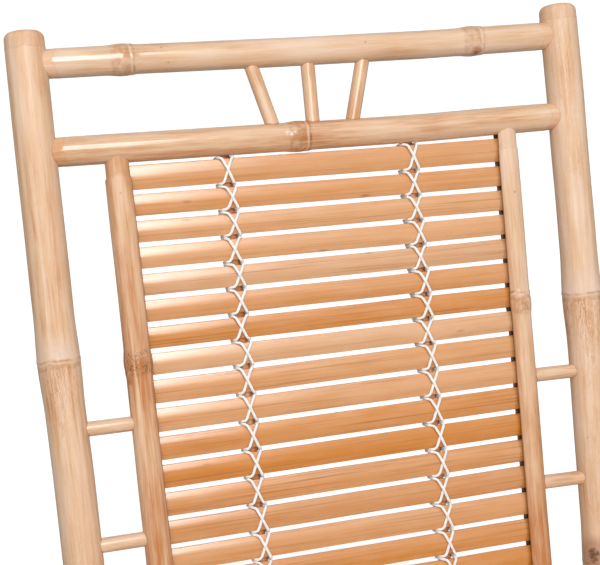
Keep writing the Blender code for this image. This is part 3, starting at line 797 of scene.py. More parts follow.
def slotted_section(radius, wall, slot, sides):
    """Outline of a hollow culm that is slit along its X side for the slats' ends."""
    outer = math.asin(slot / radius)
    inner = math.asin(slot / (radius - wall))
    outline = []
    for index in range(sides + 1):
        turn = outer + (math.tau - 2 * outer) * index / sides
        outline.append((radius * math.cos(turn), radius * math.sin(turn), 0.0))
    for index in range(sides // 2 + 1):
        turn = math.tau - inner - (math.tau - 2 * inner) * index / (sides // 2)
        outline.append(((radius - wall) * math.cos(turn), (radius - wall) * math.sin(turn), 0.0))
    return outline


def slat_section(width, thickness, crown, edge):
    """Outline of a split slat: flat behind, crowned in front, with rounded long edges."""
    half = width / 2
    behind = edge - thickness / 2
    before = thickness / 2 - crown - edge
    corners = ((half - edge, behind, 1.5), (half - edge, before, 0.0), (edge - half, before, 0.5),
               (edge - half, behind, 1.0))
    outline = []
    for across, out, start in corners:
        for index in range(CORNER_POINTS):
            turn = start * math.pi + index * math.pi / (2 * (CORNER_POINTS - 1))
            outline.append((across + edge * math.cos(turn), out + edge * math.sin(turn), 0.0))
        if start == 0.0:
            for index in range(1, CROWN_POINTS):
                share = 1 - 2 * index / CROWN_POINTS
                outline.append((share * (half - edge), thickness / 2 - crown * share**2, 0.0))
    return outline


def lobed_section(radius, lobes):
    """Outline of a cord that is laid up from a few yarns."""
    outline = []
    for index in range(LOBE_POINTS * lobes):
        turn = math.tau * index / (LOBE_POINTS * lobes)
        reach = radius * (1 - LOBE_DEPTH + LOBE_DEPTH * abs(math.cos(lobes * turn / 2)))
        outline.append((reach * math.cos(turn), reach * math.sin(turn), 0.0))
    return outline


def slat_gaps(length, count, narrow=0, narrow_pitch=0.0):
    """Middles of the gaps before, between and after the slats that fill a panel between two rails."""
    first = RAIL_RADIUS + SLAT_END_GAP
    turn = first + narrow * narrow_pitch
    pitch = (length - first - turn) / (count - narrow)
    gaps = [first + narrow_pitch * index for index in range(narrow)]
    return gaps + [turn + pitch * index for index in range(count - narrow + 1)]


def sway(down):
    """Slope of the hand-laid back slats: level at both rails, and lifted on the right between them."""
    return -BACK_SLAT_SWAY * math.sin(math.pi * down / BACK_LENGTH) ** 2


def lay_slats(name, nodes, gaps, origin, along, out, **sizes):
    """One piece with all the slats of a panel. The sizes are the tree's inputs of those names."""
    look = bpy.context.scene.chair.slat
    pitch = gaps[-1] - gaps[-2]
    width = pitch - SLAT_GAP
    outline = slat_section(width, SLAT_THICKNESS, look.crown, look.edge)
    mesh = make(
        slat_tree, lacquered_slat, [origin, origin + along], outline, origin=tuple(origin),
        along=tuple(along), out=tuple(out), count=len(gaps) - 1, section_width=width,
        narrow_pitch=NARROW_PITCH, pitch=pitch, first=gaps[0], gap=SLAT_GAP, roll=look.roll, bow=look.bow,
        seed=len(gaps), **sizes)
    dress(name, mesh, "bamboo_slat", *nodes)


def lacing_points(centre, gaps):
    """Route of one cord: across, along and out of each point.

    On the way down it crosses each slat's front from upper left to lower right, over the strand that comes
    back up from lower left to upper right. In each gap both strands go round the back of the batten. That is
    the solid cord's route, but here a hand has drawn the strands in and laid each crossing a little aside.
    """
    side = BATTEN_RADIUS + CLEARANCE + STRAND_RADIUS
    front = SLAT_THICKNESS / 2 + CLEARANCE + STRAND_RADIUS
    back = -BATTEN_DEPTH - side
    shift = STRAND_PITCH / 2
    left = -side + LEFT_DRAW
    right = side - RIGHT_DRAW
    turn = front - TURN_DEPTH
    hand = random.Random(len(gaps) + (centre > 0))
    plays = [hand.uniform(-HAND_PLAY, HAND_PLAY) for gap in gaps[1:]]
    points = [(-CORD_TAIL, gaps[0] + shift, back)]
    for upper, lower, play in zip(gaps, gaps[1:], plays):
        points += [
            (-side, upper + shift, back),
            (-side, upper + shift, turn),
            (left + play, upper + shift + EDGE_DROP, front),
            ((left + right) / 2 + play, (upper + lower) / 2, front + STRAND_PITCH),
            (right + play, lower - shift - EDGE_DROP, front),
            (side, lower - shift, turn),
            (side, lower - shift, back),
        ]
    points.append((-side, gaps[-1] - shift, back))
    for upper, lower, play in zip(gaps[-2::-1], gaps[:0:-1], plays[::-1]):
        points += [
            (-side, lower - shift, turn),
            (left + play, lower - shift - EDGE_DROP, front),
            (right + play, upper + shift + EDGE_DROP, front),
            (side, upper + shift, turn),
            (side, upper + shift, back - STRAND_PITCH),
            (-side, upper - shift, back - STRAND_PITCH),
        ]
    points[-1] = (CORD_TAIL, gaps[0] + shift, back - STRAND_PITCH)
    return [(centre + across, along, out) for across, along, out in points]


def lace(panel, place, spread, gaps, slope):
    """One unbroken cord on each side of a panel."""
    look = bpy.context.scene.chair.lacing
    outline = lobed_section(look.diameter / 2, look.plies)
    for name, side in SIDES.items():
        shifted = [gap + slope(gap) * side * spread for gap in gaps]
        route = [place(*point) for point in lacing_points(side * spread, shifted)]
        mesh = make(lacing_tree, bleached_cord, route, outline, bend=look.bend, step=look.diameter / 3,
                    twist=look.twist)
        dress(f"{name}_{panel}_cord", mesh, "cotton_cord", f"{name}_{panel}_lacing")


def joined(names):
    """One throwaway mesh of several poles, for an end that is coped to all of them."""
    corners = []
    faces = []
    for name in names:
        shift = len(corners)
        mesh = poles[name].data
        corners += [tuple(corner.co) for corner in mesh.vertices]
        faces += [[shift + index for index in face.vertices] for face in mesh.polygons]
    mesh = bpy.data.meshes.new("mates")
    mesh.from_pydata(corners, [], faces)
    return put("mates", mesh)


def grow(name, path, radius, mates=(None, None), knuckles=None, facing=OUT, swell=1.2, slot=None, nodes=None,
         **look):
    """One bamboo pole along a path of points. An end with no mate is a rounded free end.

    A mate is the name of a pole, or a tuple of such names. The knuckles are the first one's distance along
    the path and their spacing, and swell is the reach of their swelling in radii. A slot is half the width
    of a slit. The nodes are the solids that the pole stands for, if not the one of its own name. The look is
    the tree's inputs of those names.
    """
    culm = bpy.context.scene.chair.culm
    length = sum((b - a).length for a, b in zip(path, path[1:]))
    first, spacing = knuckles or (NO_KNUCKLE, 1.0)
    last = max(0, math.floor((length - first - KNUCKLE_CLEAR) / spacing)) if knuckles else 0
    if slot:
        outline = slotted_section(radius, culm.wall, slot, culm.sides)
    else:
        outline = round_section(radius, culm.sides)
    ends = [joined(mate) if isinstance(mate, tuple) else mate and poles[mate] for mate in mates]
    eases = [0.0 if end else min(culm.end_ease, EASE_SHARE * radius) for end in ends]
    slender = min(1.0, radius / POST_RADIUS)
    mesh = make(
        culm_tree, lacquered_culm, path, outline, facing=tuple(facing), radius=radius,
        ring_step=culm.ring_step, ring_skip=culm.ring_skip, knuckle_first=first, knuckle_spacing=spacing,
        last_knuckle=last, knuckle_height=culm.knuckle_height * min(1.0, radius / RAIL_RADIUS),
        swell_reach=swell * radius, raggedness=culm.raggedness, round_start=eases[0], round_end=eases[1],
        start_mate=ends[0], end_mate=ends[1], cope_reach=min(COPE_REACH, COPE_SHARE * length),
        tuck=culm.tuck, wander=culm.wander * slender, unevenness=culm.unevenness * slender,
        seed=len(poles) + 1, **{**PLAIN_CULM, **look})
    for end, mate in zip(ends, mates):
        if isinstance(mate, tuple):
            discard(end)
    poles[name] = dress(name + "_culm", mesh, "bamboo_pole", *(nodes or [name]))
    return poles[name]


def new_material(name):
    """A material, the function that adds its nodes, and the one that sets its shader's inputs."""
    material = bpy.data.materials.new(name)
    material.use_nodes = True
    tree = material.node_tree
    return material, partial(add_node, tree), partial(connect, tree, tree.nodes["Principled BSDF"])


def opaque(paint):
    return (*paint, 1.0)


def scattered(add, place, scale, rarity, inner, outer, strength):
    """Soft dots in a few cells of an uneven grid."""
    cells = add(MAPPING, {"Vector": place, "Scale": scale})
    cells = add(CELLS, {"Vector": cells, "Scale": 1.0, "Randomness": 1.0})
    chosen = add("ShaderNodeSeparateColor", (cells.outputs["Color"],))
    chosen = add(MATH, (chosen, rarity), "GREATER_THAN")
    dots = add(RANGE, (cells, inner, outer, strength, 0.0))
    return add(MATH, (dots, chosen), "MULTIPLY")


def soft_line(add, value, middle, inner, outer, strength):
    """A line of that strength where a value passes the middle, fading between two distances from it."""
    line = add(MATH, (value, middle), "SUBTRACT")
    line = add(MATH, (line,), "ABSOLUTE")
    return add(RANGE, (line, inner, outer, strength, 0.0))


def lacquered_culm(finish):
    """Whole bamboo culms, peeled, sanded and clear-lacquered.

    The eye gets pale tan skin with long soft fibre streaks, brown mottled bands between broken lines at the
    knuckles, a pinkish bloom beyond some lips, wormy brown flaws and stains on one side, matt sanded collars
    at the ends, and crisp highlights from the lacquer. Painted shade makes faint dark lines at the joints
    and darkens the inside of the slit culms almost to black.
    """
    material, add, set_shader = new_material("lacquered bamboo culm")
    read = SimpleNamespace()
    for name in CULM_MARKS:
        setattr(read, name, add("ShaderNodeAttribute", attribute_name=name).outputs["Fac"])
    fibre = add("ShaderNodeAttribute", attribute_name="fibre").outputs["Vector"]

    # Each pattern's size across and along the culm in metres, its detail and its bending
    patterns = {}
    for name, across, along, detail, bending in (
            ("clouds", 0.030, 0.090, 4.0, 0.0), ("streaks", 0.005, 0.100, 3.0, 0.0),
            ("fibres", 0.0012, 0.025, 2.0, 0.0), ("spots", 0.006, 0.005, 4.0, 0.5),
            ("rootlets", 0.0016, 0.0020, 2.0, 0.6), ("worms", 0.0036, 0.020, 2.0, 1.6)):
        place = add(MAPPING, {"Vector": fibre, "Scale": (1 / across, 1 / across, 1 / along)})
        patterns[name] = add(NOISE, {"Vector": place, "Scale": 1.0, "Detail": detail, "Distortion": bending})
    clouds, streaks, fibres, spots, rootlets, worms = patterns.values()

    # Skin: streaks about the culm's own tone, stained for 100 mm on a knuckle's flawed side
    near = add(RANGE, (read.flaw, 0.0, 0.100, 1.0, 0.0), **SMOOTH)
    there = add(RANGE, (read.flaw, -0.004, 0.004, 0.0, 1.0))
    near = add(MATH, (near, there), "MULTIPLY")
    near = add(MATH, (near, read.here), "MULTIPLY")
    stain = add(MATH, (near, read.stain), "MULTIPLY")
    contrast = add(RANGE, (read.tone, 0.3, 0.7, 0.7, 1.0))
    contrast = add(MATH, (stain, 1.6, contrast), "MULTIPLY_ADD")
    contrast = add(MATH, (read.flaws, 0.5, contrast), "MULTIPLY_ADD")
    spread = add(MATH, (streaks, 0.5), "SUBTRACT")
    level = read.tone
    for pattern, weight in ((clouds, 1.1), (spread, contrast), (fibres, 0.5), (stain, 0.25)):
        level = add(MATH, (pattern, weight, level), "MULTIPLY_ADD")
    level = add(MATH, (level, 0.8), "SUBTRACT")
    base = add("ShaderNodeValToRGB", (level,))
    ramp = base.color_ramp.elements
    ramp[0].color = opaque(finish.culm_pale)
    ramp[1].color = opaque(finish.culm_deep)
    ramp.new(0.5).color = opaque(finish.culm_tan)

    # Bloom beyond the lip
    bloom = add(RANGE, (read.past_lip, 0.002, 0.034, 1.1, 0.0), **SMOOTH)
    beyond = add(RANGE, (read.past_lip, 0.0, 0.003, 0.0, 1.0))
    for share in (beyond, read.here, read.flaws):
        bloom = add(MATH, (bloom, share), "MULTIPLY")
    patches = add(RANGE, (clouds, 0.36, 0.60, 0.1, 1.0))
    bloom = add(MATH, (bloom, patches), "MULTIPLY", use_clamp=True)

    # Wormy flaws, 2 mm wide and bent, on the same side as the stain, with fainter ones all along
    worms = soft_line(add, worms, 0.5, 0.0, 0.060, 1.0)
    flawed = add(MATH, (near, 0.85, 0.20), "MULTIPLY_ADD")
    for share in (patches, read.flaws):
        flawed = add(MATH, (flawed, share), "MULTIPLY")
    worms = add(MATH, (worms, flawed), "MULTIPLY")

    # Scarred band: soft edges, brown mottling, and dark rootlet dots where it is scarred most
    band = add(RANGE, (read.in_band, -0.003, 0.003, 0.0, 1.0), **SMOOTH)
    stop = add(RANGE, (read.past_lip, -0.0018, 0.0010, 1.0, 0.0), **SMOOTH)
    for share in (stop, read.knots, read.here):
        band = add(MATH, (band, share), "MULTIPLY")
    mottle = add(RANGE, (spots, 0.38, 0.62, 0.10, 0.70))
    faded = add(RANGE, (read.knots, 0.84, 1.0, 1.0, 0.5))
    dots = add(RANGE, (rootlets, 0.52, 0.64, 0.0, 0.62))
    scarred = add(RANGE, (read.knots, 0.80, 1.0, 0.0, 1.0))
    for share in (band, faded):
        mottle = add(MATH, (mottle, share), "MULTIPLY")
    for share in (band, scarred):
        dots = add(MATH, (dots, share), "MULTIPLY")

    # Broken lines at both sides of the band, weak where rootlets cover it, and a pale ridge at the lip
    clear = add(RANGE, (read.knots, 0.92, 1.0, 1.0, 0.2))
    clear = add(MATH, (clear, read.here), "MULTIPLY")
    ridge = soft_line(add, read.past_lip, -0.0022, 0.0003, 0.0018, 0.55)
    ridge = add(MATH, (ridge, clear), "MULTIPLY")
    strong = add(RANGE, (read.knots, 0.45, 0.90, 0.30, 0.50))
    lip = soft_line(add, read.past_lip, 0.0, 0.0002, 0.0018, strong)
    foot = soft_line(add, read.in_band, 0.0, 0.0002, 0.0018, 0.16)
    marks = add(MATH, (lip, foot), "MAXIMUM")
    crowded = add(RANGE, (spots, 0.42, 0.60, 0.1, 1.0))
    for share in (crowded, clear):
        marks = add(MATH, (marks, share), "MULTIPLY")

    # Bud scars with a brown halo and a dark torn eye, specks about 60 mm apart, and painted shade in a thin
    # line at the seams of coped ends
    halo = add(RANGE, (read.bud, 0.0040, 0.0075, 0.62, 0.0))
    eye = add(MATH, (spots, 0.008, read.bud), "MULTIPLY_ADD")
    eye = add(RANGE, (eye, 0.0046, 0.0066, 0.85, 0.0))
    specks = scattered(add, fibre, (1 / 0.014, 1 / 0.014, 1 / 0.020), 0.84, 0.03, 0.09, 0.5)
    # Painted shade: a thin dark line where each coped end meets its mate, stronger on thin poles
    joint_shade_strength = add(RANGE, (read.radius, 0.008, 0.010, 0.6, 0.25))
    joint_shade = add(RANGE, (read.joint, 0.0006, 0.0018, joint_shade_strength, 0.0))
    for mark in (dots, eye, specks, joint_shade):
        marks = add(MATH, (marks, mark), "MAXIMUM")

    # Sanded collars with an uneven edge, cut ends with bundle dots of 1 mm, and painted shade that darkens
    # the inside of slit culms almost to black
    edge = add(MATH, (spots, 0.006, read.collar), "MULTIPLY_ADD")
    sanded = add(RANGE, (edge, 0.0018, 0.0042, 1.0, 0.0))
    rim_line = soft_line(add, edge, 0.0036, 0.0, 0.0010, 0.24)
    tint = add(MATH, (sanded, 0.13, rim_line), "MULTIPLY_ADD")
    spoke = add(SPLIT, (fibre,)).outputs
    reach = add(JOIN, (spoke["X"], spoke["Y"], 0.0))
    reach = add(VECTOR, (reach,), "LENGTH")
    reach = add(MATH, (reach, read.radius), "DIVIDE")
    grain = add(RANGE, (reach, 0.93, 0.98, 1.0, 0.0))
    bundles = add(MAPPING, {"Vector": fibre, "Scale": (1 / 0.0013, 1 / 0.0013, 0.0)})
    bundles = add(CELLS, {"Vector": bundles, "Scale": 1.0})
    bundles = add(RANGE, (bundles, 0.18, 0.42, 0.8, 0.15))
    grain = add(MATH, (grain, bundles), "MULTIPLY")
    # Painted shade: the inner wall and the slit's faces are darkened almost to black
    hollow_shade = add(RANGE, (read.rim, 0.95, 0.985, 0.97, 0.0))
    for share, paint in (
            (bloom, finish.culm_bloom), (worms, finish.knuckle_brown), (mottle, finish.knuckle_brown),
            (ridge, finish.culm_pale), (halo, finish.knuckle_brown), (marks, finish.scar_and_shade_dark),
            (tint, finish.culm_deep), (grain, finish.knuckle_brown), (hollow_shade, finish.scar_and_shade_dark)):
        base = add(MIX, {"Factor": share, 6: base, 7: opaque(paint)}, data_type="RGBA")

    # Lacquer: glossy on the skin, worn dull in the scars, missing on the sanded collars
    worn = mottle
    for share in (marks, sanded, stain):
        worn = add(MATH, (worn, share), "MAXIMUM")
    dull = add(RANGE, (worn, 0.0, 1.0, 0.42, 0.62))
    coat = add(RANGE, (worn, 0.0, 0.9, 1.0, 0.04))
    coat = add(MATH, (coat, read.gloss), "MULTIPLY")
    pits = add(MATH, (band, spots), "MULTIPLY")
    relief = streaks
    for pattern, weight in ((fibres, 0.25), (marks, -1.2), (worms, -0.6), (pits, 2.0)):
        relief = add(MATH, (pattern, weight, relief), "MULTIPLY_ADD")
    bump = add("ShaderNodeBump", {"Height": relief, "Strength": 0.3, "Distance": 0.0006})
    set_shader({"Base Color": base, "Roughness": dull, "IOR": 1.45, "Specular IOR Level": 0.25,
                "Coat Weight": coat, "Coat IOR": 1.8, "Coat Roughness": 0.13, "Normal": bump})
    return material


def lacquered_slat(finish):
    """Strips split from thick bamboo, planed, crowned and clear-lacquered.

    The eye gets honey and orange strips that differ in tone, long thin brown fibre lines, paler and browner
    blotches, a few small knots, and a broad white glare where the crown turns to the light.
    """
    material, add, set_shader = new_material("lacquered split bamboo")
    fibre = add("ShaderNodeAttribute", attribute_name="fibre").outputs["Vector"]
    tone = add("ShaderNodeAttribute", attribute_name="tone").outputs["Fac"]
    deep = opaque(finish.slat_deep)

    # Blotches 40 mm long, streaks 3 mm wide and fibre lines 1 mm wide; the third axis parts the slats
    patterns = {}
    for name, along, across, parting, detail in (
            ("clouds", 0.040, 0.010, 7.7, 4.0), ("streaks", 0.16, 0.0030, 5.3, 3.0),
            ("fibres", 0.14, 0.0011, 3.1, 2.0)):
        place = add(MAPPING, {"Vector": fibre, "Scale": (1 / along, 1 / across, parting)})
        patterns[name] = add(NOISE, {"Vector": place, "Scale": 1.0, "Detail": detail})
    clouds, streaks, fibres = patterns.values()
    level = add(MATH, (tone, 1.5), "MULTIPLY")
    for pattern, weight in ((clouds, 1.3), (streaks, 1.1)):
        level = add(MATH, (pattern, weight, level), "MULTIPLY_ADD")
    level = add(RANGE, (level, 0.95, 2.85, 0.0, 1.0))
    base = add("ShaderNodeValToRGB", (level,))
    ramp = base.color_ramp.elements
    ramp[0].color = opaque(finish.slat_pale)
    ramp[1].color = opaque(finish.slat_honey)

    # Some slats are a little browner, and fibre lines are strong on some slats and faint on others
    chances = []
    for spacing in (7.9, 17.3):
        chance = add(MATH, (tone, spacing), "MULTIPLY")
        chances.append(add(MATH, (chance,), "FRACT"))
    aged = add(RANGE, (chances[0], 0.6, 1.0, 0.0, 0.14))
    grained = add(RANGE, (chances[1], 0.0, 1.0, 0.25, 1.0))
    lines = add(RANGE, (fibres, 0.53, 0.66, 0.0, 0.75))
    patch = add(RANGE, (streaks, 0.42, 0.58, 0.15, 1.0))
    for share in (patch, grained):
        lines = add(MATH, (lines, share), "MULTIPLY")

    # Small knots, about one on every other slat
    knots = scattered(add, fibre, (1 / 0.045, 1 / 0.014, 2.0), 0.86, 0.05, 0.16, 0.7)
    lines = add(MATH, (lines, knots), "MAXIMUM")
    for share in (aged, lines):
        base = add(MIX, {"Factor": share, 6: base, 7: deep}, data_type="RGBA")
    dull = add(RANGE, (streaks, 0.3, 0.7, 0.28, 0.38))
    relief = add(MATH, (lines, -0.8, streaks), "MULTIPLY_ADD")
    bump = add("ShaderNodeBump", {"Height": relief, "Strength": 0.25, "Distance": 0.0004})
    set_shader({"Base Color": base, "Roughness": dull, "IOR": 1.5, "Coat Weight": 1.0, "Coat IOR": 1.9,
                "Coat Roughness": 0.20, "Normal": bump})
    return material


def bleached_cord(finish):
    """Bleached cotton cord, laid up from yarns. The eye gets a matt, fuzzy white with painted shade in its
    grooves.
    """
    material, add, set_shader = new_material("bleached cotton cord")
    along = add("ShaderNodeAttribute", attribute_name="along").outputs["Fac"]
    spoke = add("ShaderNodeAttribute", attribute_name="spoke").outputs["Vector"]
    depth = add(VECTOR, (spoke,), "LENGTH")
    worn = add(NOISE, {"W": along, "Scale": 1 / 0.012, "Detail": 3.0}, noise_dimensions="1D")
    worn = add(RANGE, (worn, 0.3, 0.7, 0.0, 0.03))
    # Painted shade in the creases between the yarns, added to the real wear along the cord
    crease_shade = add(RANGE, (depth, 0.00130, 0.00143, 0.08, 0.0))
    wear_and_crease_shade = add(MATH, (worn, crease_shade), "ADD")
    base = add(MIX, {"Factor": wear_and_crease_shade, 6: opaque(finish.cord_white), 7: opaque(finish.culm_tan)},
               data_type="RGBA")
    set_shader({"Base Color": base, "Roughness": 0.85, "Sheen Weight": 0.2})
    return material


def background_rays(add, gloss):
    """One where the camera or a clear piece sees the background, and a share where gloss reflects it."""
    rays = add("ShaderNodeLightPath").outputs
    seen = add(MATH, (rays["Is Glossy Ray"], gloss), "MULTIPLY")
    for kind in ("Is Camera Ray", "Is Transmission Ray"):
        seen = add(MATH, (seen, rays[kind]), "MAXIMUM")
    return seen


def studio_floor(finish):
    """Matt painted studio floor. It looks white to the camera and keeps the chair's soft shadow."""
    material, add, set_shader = new_material("matt studio floor")
    place = add("ShaderNodeTexCoord").outputs["Object"]
    away = add(VECTOR, (place,), "LENGTH")
    glow = add(RANGE, (away, 0.5, 1.5, 0.66, 0.95), **SMOOTH)
    glow = add(MATH, (glow, background_rays(add, 0.2)), "MULTIPLY")
    set_shader({"Base Color": opaque(finish.floor), "Roughness": 0.9, "Specular IOR Level": 0.1,
                "Emission Color": (1.0, 1.0, 1.0, 1.0), "Emission Strength": glow})
    return material


class CHAIR_OT_rockers(bpy.types.Operator):
    """Grow the two bent rockers"""

    bl_idname = "chair.rockers"
    bl_label = "Rockers"

    def execute(self, context):
        front_foot = onto_rocker(FRONT, -LEG_UP)
        half = math.asin(-front_foot.y / ROCKER_AXIS_RADIUS) + ROCKER_OVERHANG / ROCKER_AXIS_RADIUS
        turns = [half * (2 * index / ROCKER_STEPS - 1) for index in range(ROCKER_STEPS + 1)]
        for name, side in SIDES.items():
            centre = ROCKER_CENTRE + side * side_x(ROCKER_RADIUS) * ACROSS
            spokes = [Vector((0, math.sin(turn), -math.cos(turn))) for turn in turns]
            path = [centre + ROCKER_AXIS_RADIUS * spoke for spoke in spokes]
            piece = grow(f"{name}_rocker", path, ROCKER_RADIUS, knuckles=(0.160, 0.210), facing=ACROSS,
                         growth=side, bud_turn=2.2, knots=0.45, tone=0.45)
            # The flat that the rocker stands on
            for corner in piece.data.vertices:
                corner.co.z = max(corner.co.z, 0.0)
        return {"FINISHED"}


class CHAIR_OT_posts(bpy.types.Operator):
    """Grow the two back posts, bent under the seat and run down to the rockers"""

    bl_idname = "chair.posts"
    bl_label = "Back posts"

    def execute(self, context):
        lower = [on_back(0, BACK_LENGTH + BEND_DROP), *post_bend(), rear_leg()[1]]
        # What is cut off each post's top, and its bow as distances down the back and shifts to the right
        trims = {"left": 0.0025, "right": 0.0}
        bows = {"left": ((-POST_RISE, -0.0014), (0.050, -0.0024), (0.200, -0.0024), (0.300, -0.0012)),
                "right": ((-POST_RISE, -0.0030), (-0.020, -0.0010), (0.100, 0.0), (0.300, 0.0))}
        looks = {
            "left": {"knuckles": (0.311, 0.268), "bud_turn": math.radians(190), "flaws": 0.60, "gloss": 0.15,
                     "tone": 0.41},
            "right": {"knuckles": (0.302, 0.276), "bud_turn": math.radians(228), "bud_beyond": 0.0075,
                      "bud_size": 3.2, "flaws": 1.00, "gloss": 0.10, "tone": 0.34},
        }
        for name, side in SIDES.items():
            path = [on_side(side, on_back(0, down)) + shift * ACROSS for down, shift in bows[name]]
            path += [on_side(side, point) for point in lower]
            path[0] += trims[name] * (path[1] - path[0]).normalized()
            path[-1] -= (path[-1] - path[-2]).normalized() * STOP_SHARE * ROCKER_RADIUS
            grow(f"{name}_back_post", path, POST_RADIUS, (None, f"{name}_rocker"), growth=-1, stain=0.4,
                 band=0.007, swell=2.5, collar=0.0155, **looks[name])
        return {"FINISHED"}


class CHAIR_OT_back_rails(bpy.types.Operator):
    """Grow the three level rails between the posts"""

    bl_idname = "chair.back_rails"
    bl_label = "Back rails"

    def execute(self, context):
        rails = {
            "top_rail": (TOP, {"knuckles": (0.079, 0.354), "bud_turn": math.radians(235),
                               "bud_beyond": -0.008, "knots": 0.60, "stain": 0.10, "tone": 0.40}),
            "crest_rail": (CREST, {"knuckles": (0.242, 0.330), "bud_turn": 4.4, "knots": 0.84, "stain": 0.50,
                                   "tone": 0.56}),
            "rear_seat_rail": (REAR, {"knuckles": (0.130, 0.310), "bud_turn": 1.0, "knots": 0.60}),
        }
        # The rails' bow, as shares of the way to the right and drops
        bow = ((0.0, 0.0013), (0.45, 0.0018), (0.72, 0.0016), (1.0, -0.0011))
        for name, (place, look) in rails.items():
            left, right = between_sides(place, POST_RADIUS)
            path = [left.lerp(right, share) + drop * DOWN for share, drop in bow]
            grow(name, path, RAIL_RADIUS, ("left_back_post", "right_back_post"), collar=0.0115, **look)
        return {"FINISHED"}


class CHAIR_OT_fan_struts(bpy.types.Operator):
    """Grow the three struts that fan out between the two upper rails"""

    bl_idname = "chair.fan_struts"
    bl_label = "Fan struts"

    def execute(self, context):
        rise = (TOP - CREST).length
        for name, step in {"left": -1, "middle": 0, "right": 1}.items():
            path = span(on_back(FAN_MIDDLE + step * (FAN_TOP_SPREAD + FAN_LEAN), -rise),
                        on_back(FAN_MIDDLE + step * FAN_FOOT_SPREAD, 0.0), RAIL_RADIUS, RAIL_RADIUS)
            grow(f"{name}_fan_strut", path, SPINDLE_RADIUS, ("top_rail", "crest_rail"), gloss=0.5,
                 tone=0.55 + 0.05 * step)
        return {"FINISHED"}


class CHAIR_OT_back_poles(bpy.types.Operator):
    """Grow the two slit poles that hold the ends of the back slats"""

    bl_idname = "chair.back_poles"
    bl_label = "Back poles"

    def execute(self, context):
        # The real poles' radius is 1.2 to 2 mm more than the solids'
        looks = {
            "left": {"radius": 0.0130, "collar_depth": 0.0013, "knuckles": (0.199, 0.240), "growth": 1,
                     "bud_turn": math.radians(150), "knots": 1.0, "stain": 0.6, "tone": 0.69, "drift": 0.2},
            "right": {"radius": 0.0122, "collar_depth": 0.0008, "knuckles": (0.181, 0.330), "growth": -1,
                      "bud_turn": math.radians(180), "knots": 0.76, "stain": 0.1, "tone": 0.18,
                      "drift": 1.9},
        }
        for name, side in SIDES.items():
            ends = [on_back(side * panel_x(down), down) for down in (0.0, BACK_LENGTH)]
            path = span(*ends, RAIL_RADIUS, RAIL_RADIUS)
            grow(f"{name}_back_pole", path, mates=("crest_rail", "rear_seat_rail"), facing=-side * ACROSS,
                 bud_size=0.7, gloss=0.3, band=0.022, collar=0.021, slot=SLOT_HALF_WIDTH, **looks[name])
        return {"FINISHED"}


class CHAIR_OT_spindles(bpy.types.Operator):
    """Grow the four short spindles between the posts and the slit poles"""

    bl_idname = "chair.spindles"
    bl_label = "Spindles"

    def execute(self, context):
        for name, side in SIDES.items():
            mates = (f"{name}_back_post", f"{name}_back_pole")
            for level, down in SPINDLE_DROPS.items():
                start = on_side(side, on_back(0, down, SPINDLE_FORWARD))
                path = span(start, on_back(side * panel_x(down), down), POST_RADIUS, PANEL_POLE_RADIUS)
                grow(f"{name}_{level}_spindle", path, SPINDLE_RADIUS, mates, tone=0.48)
        return {"FINISHED"}


class CHAIR_OT_arms(bpy.types.Operator):
    """Grow the armrests, the front legs under them and the stretchers"""

    bl_idname = "chair.arms"
    bl_label = "Arms and legs"

    def execute(self, context):
        leg_top = crossing(FRONT, LEG_UP, ARM_REAR, ARM_FORWARD)
        leg_foot = onto_rocker(FRONT, -LEG_UP)
        arm_front = leg_top + ARM_OVERHANG * ARM_FORWARD
        for name, side in SIDES.items():
            path = span(on_side(side, arm_front), on_side(side, ARM_REAR), 0.0, POST_RADIUS)
            grow(f"{name}_armrest", path, ARM_RADIUS, (None, f"{name}_back_post"), knuckles=(0.120, 0.250),
                 facing=Vector((0, 0, 1)), growth=side, bud_turn=3.4, tone=0.42)
            path = span(on_side(side, leg_foot), on_side(side, leg_top), ROCKER_RADIUS, ARM_RADIUS)
            grow(f"{name}_front_leg", path, LEG_RADIUS, (f"{name}_rocker", f"{name}_armrest"),
                 knuckles=(0.140, 0.240), bud_turn=1.3 * side, knots=0.45, tone=0.46)
        front = crossing(FRONT, LEG_UP, Vector((0, 0, FRONT_STRETCHER_HEIGHT)), Vector((0, 1, 0)))
        leg_start, foot = rear_leg()
        share = (leg_start.z - REAR_STRETCHER_HEIGHT) / (leg_start.z - foot.z)
        rear = leg_start + (foot - leg_start) * share
        for name, point, mate, radius in (("front_stretcher", front, "front_leg", LEG_RADIUS),
                                          ("rear_stretcher", rear, "back_post", POST_RADIUS)):
            grow(name, between_sides(point, radius), STRETCHER_RADIUS, (f"left_{mate}", f"right_{mate}"),
                 knuckles=(0.210, 0.300), bud_turn=2.0, knots=0.7, tone=0.52)
        return {"FINISHED"}


class CHAIR_OT_seat_rails(bpy.types.Operator):
    """Grow the front seat rail, the slit side rails and the struts under the armrests"""

    bl_idname = "chair.seat_rails"
    bl_label = "Seat rails"

    def execute(self, context):
        grow("front_seat_rail", between_sides(FRONT, LEG_RADIUS), RAIL_RADIUS,
             ("left_front_leg", "right_front_leg"), knuckles=(0.180, 0.300), bud_turn=0.8, knots=0.8,
             tone=0.48)
        strut_foot = on_seat(0, ARM_STRUT_FORWARD)
        strut_top = crossing(strut_foot, SEAT_UP, ARM_REAR, ARM_FORWARD)
        for name, side in SIDES.items():
            mates = ((f"{name}_front_leg", "front_seat_rail"), (f"{name}_back_post", "rear_seat_rail"))
            path = span(on_side(side, FRONT), on_side(side, REAR), LEG_RADIUS, POST_RADIUS)
            grow(f"{name}_seat_rail", path, SEAT_RAIL_RADIUS, mates, knuckles=(0.150, 0.260),
                 facing=-side * ACROSS, growth=side, bud_turn=2.4, knots=0.7, slot=SLOT_HALF_WIDTH)
            path = span(on_side(side, strut_foot), on_side(side, strut_top), SEAT_RAIL_RADIUS, ARM_RADIUS)
            grow(f"{name}_arm_strut", path, SPINDLE_RADIUS, (f"{name}_seat_rail", f"{name}_armrest"),
                 tone=0.55)
        return {"FINISHED"}


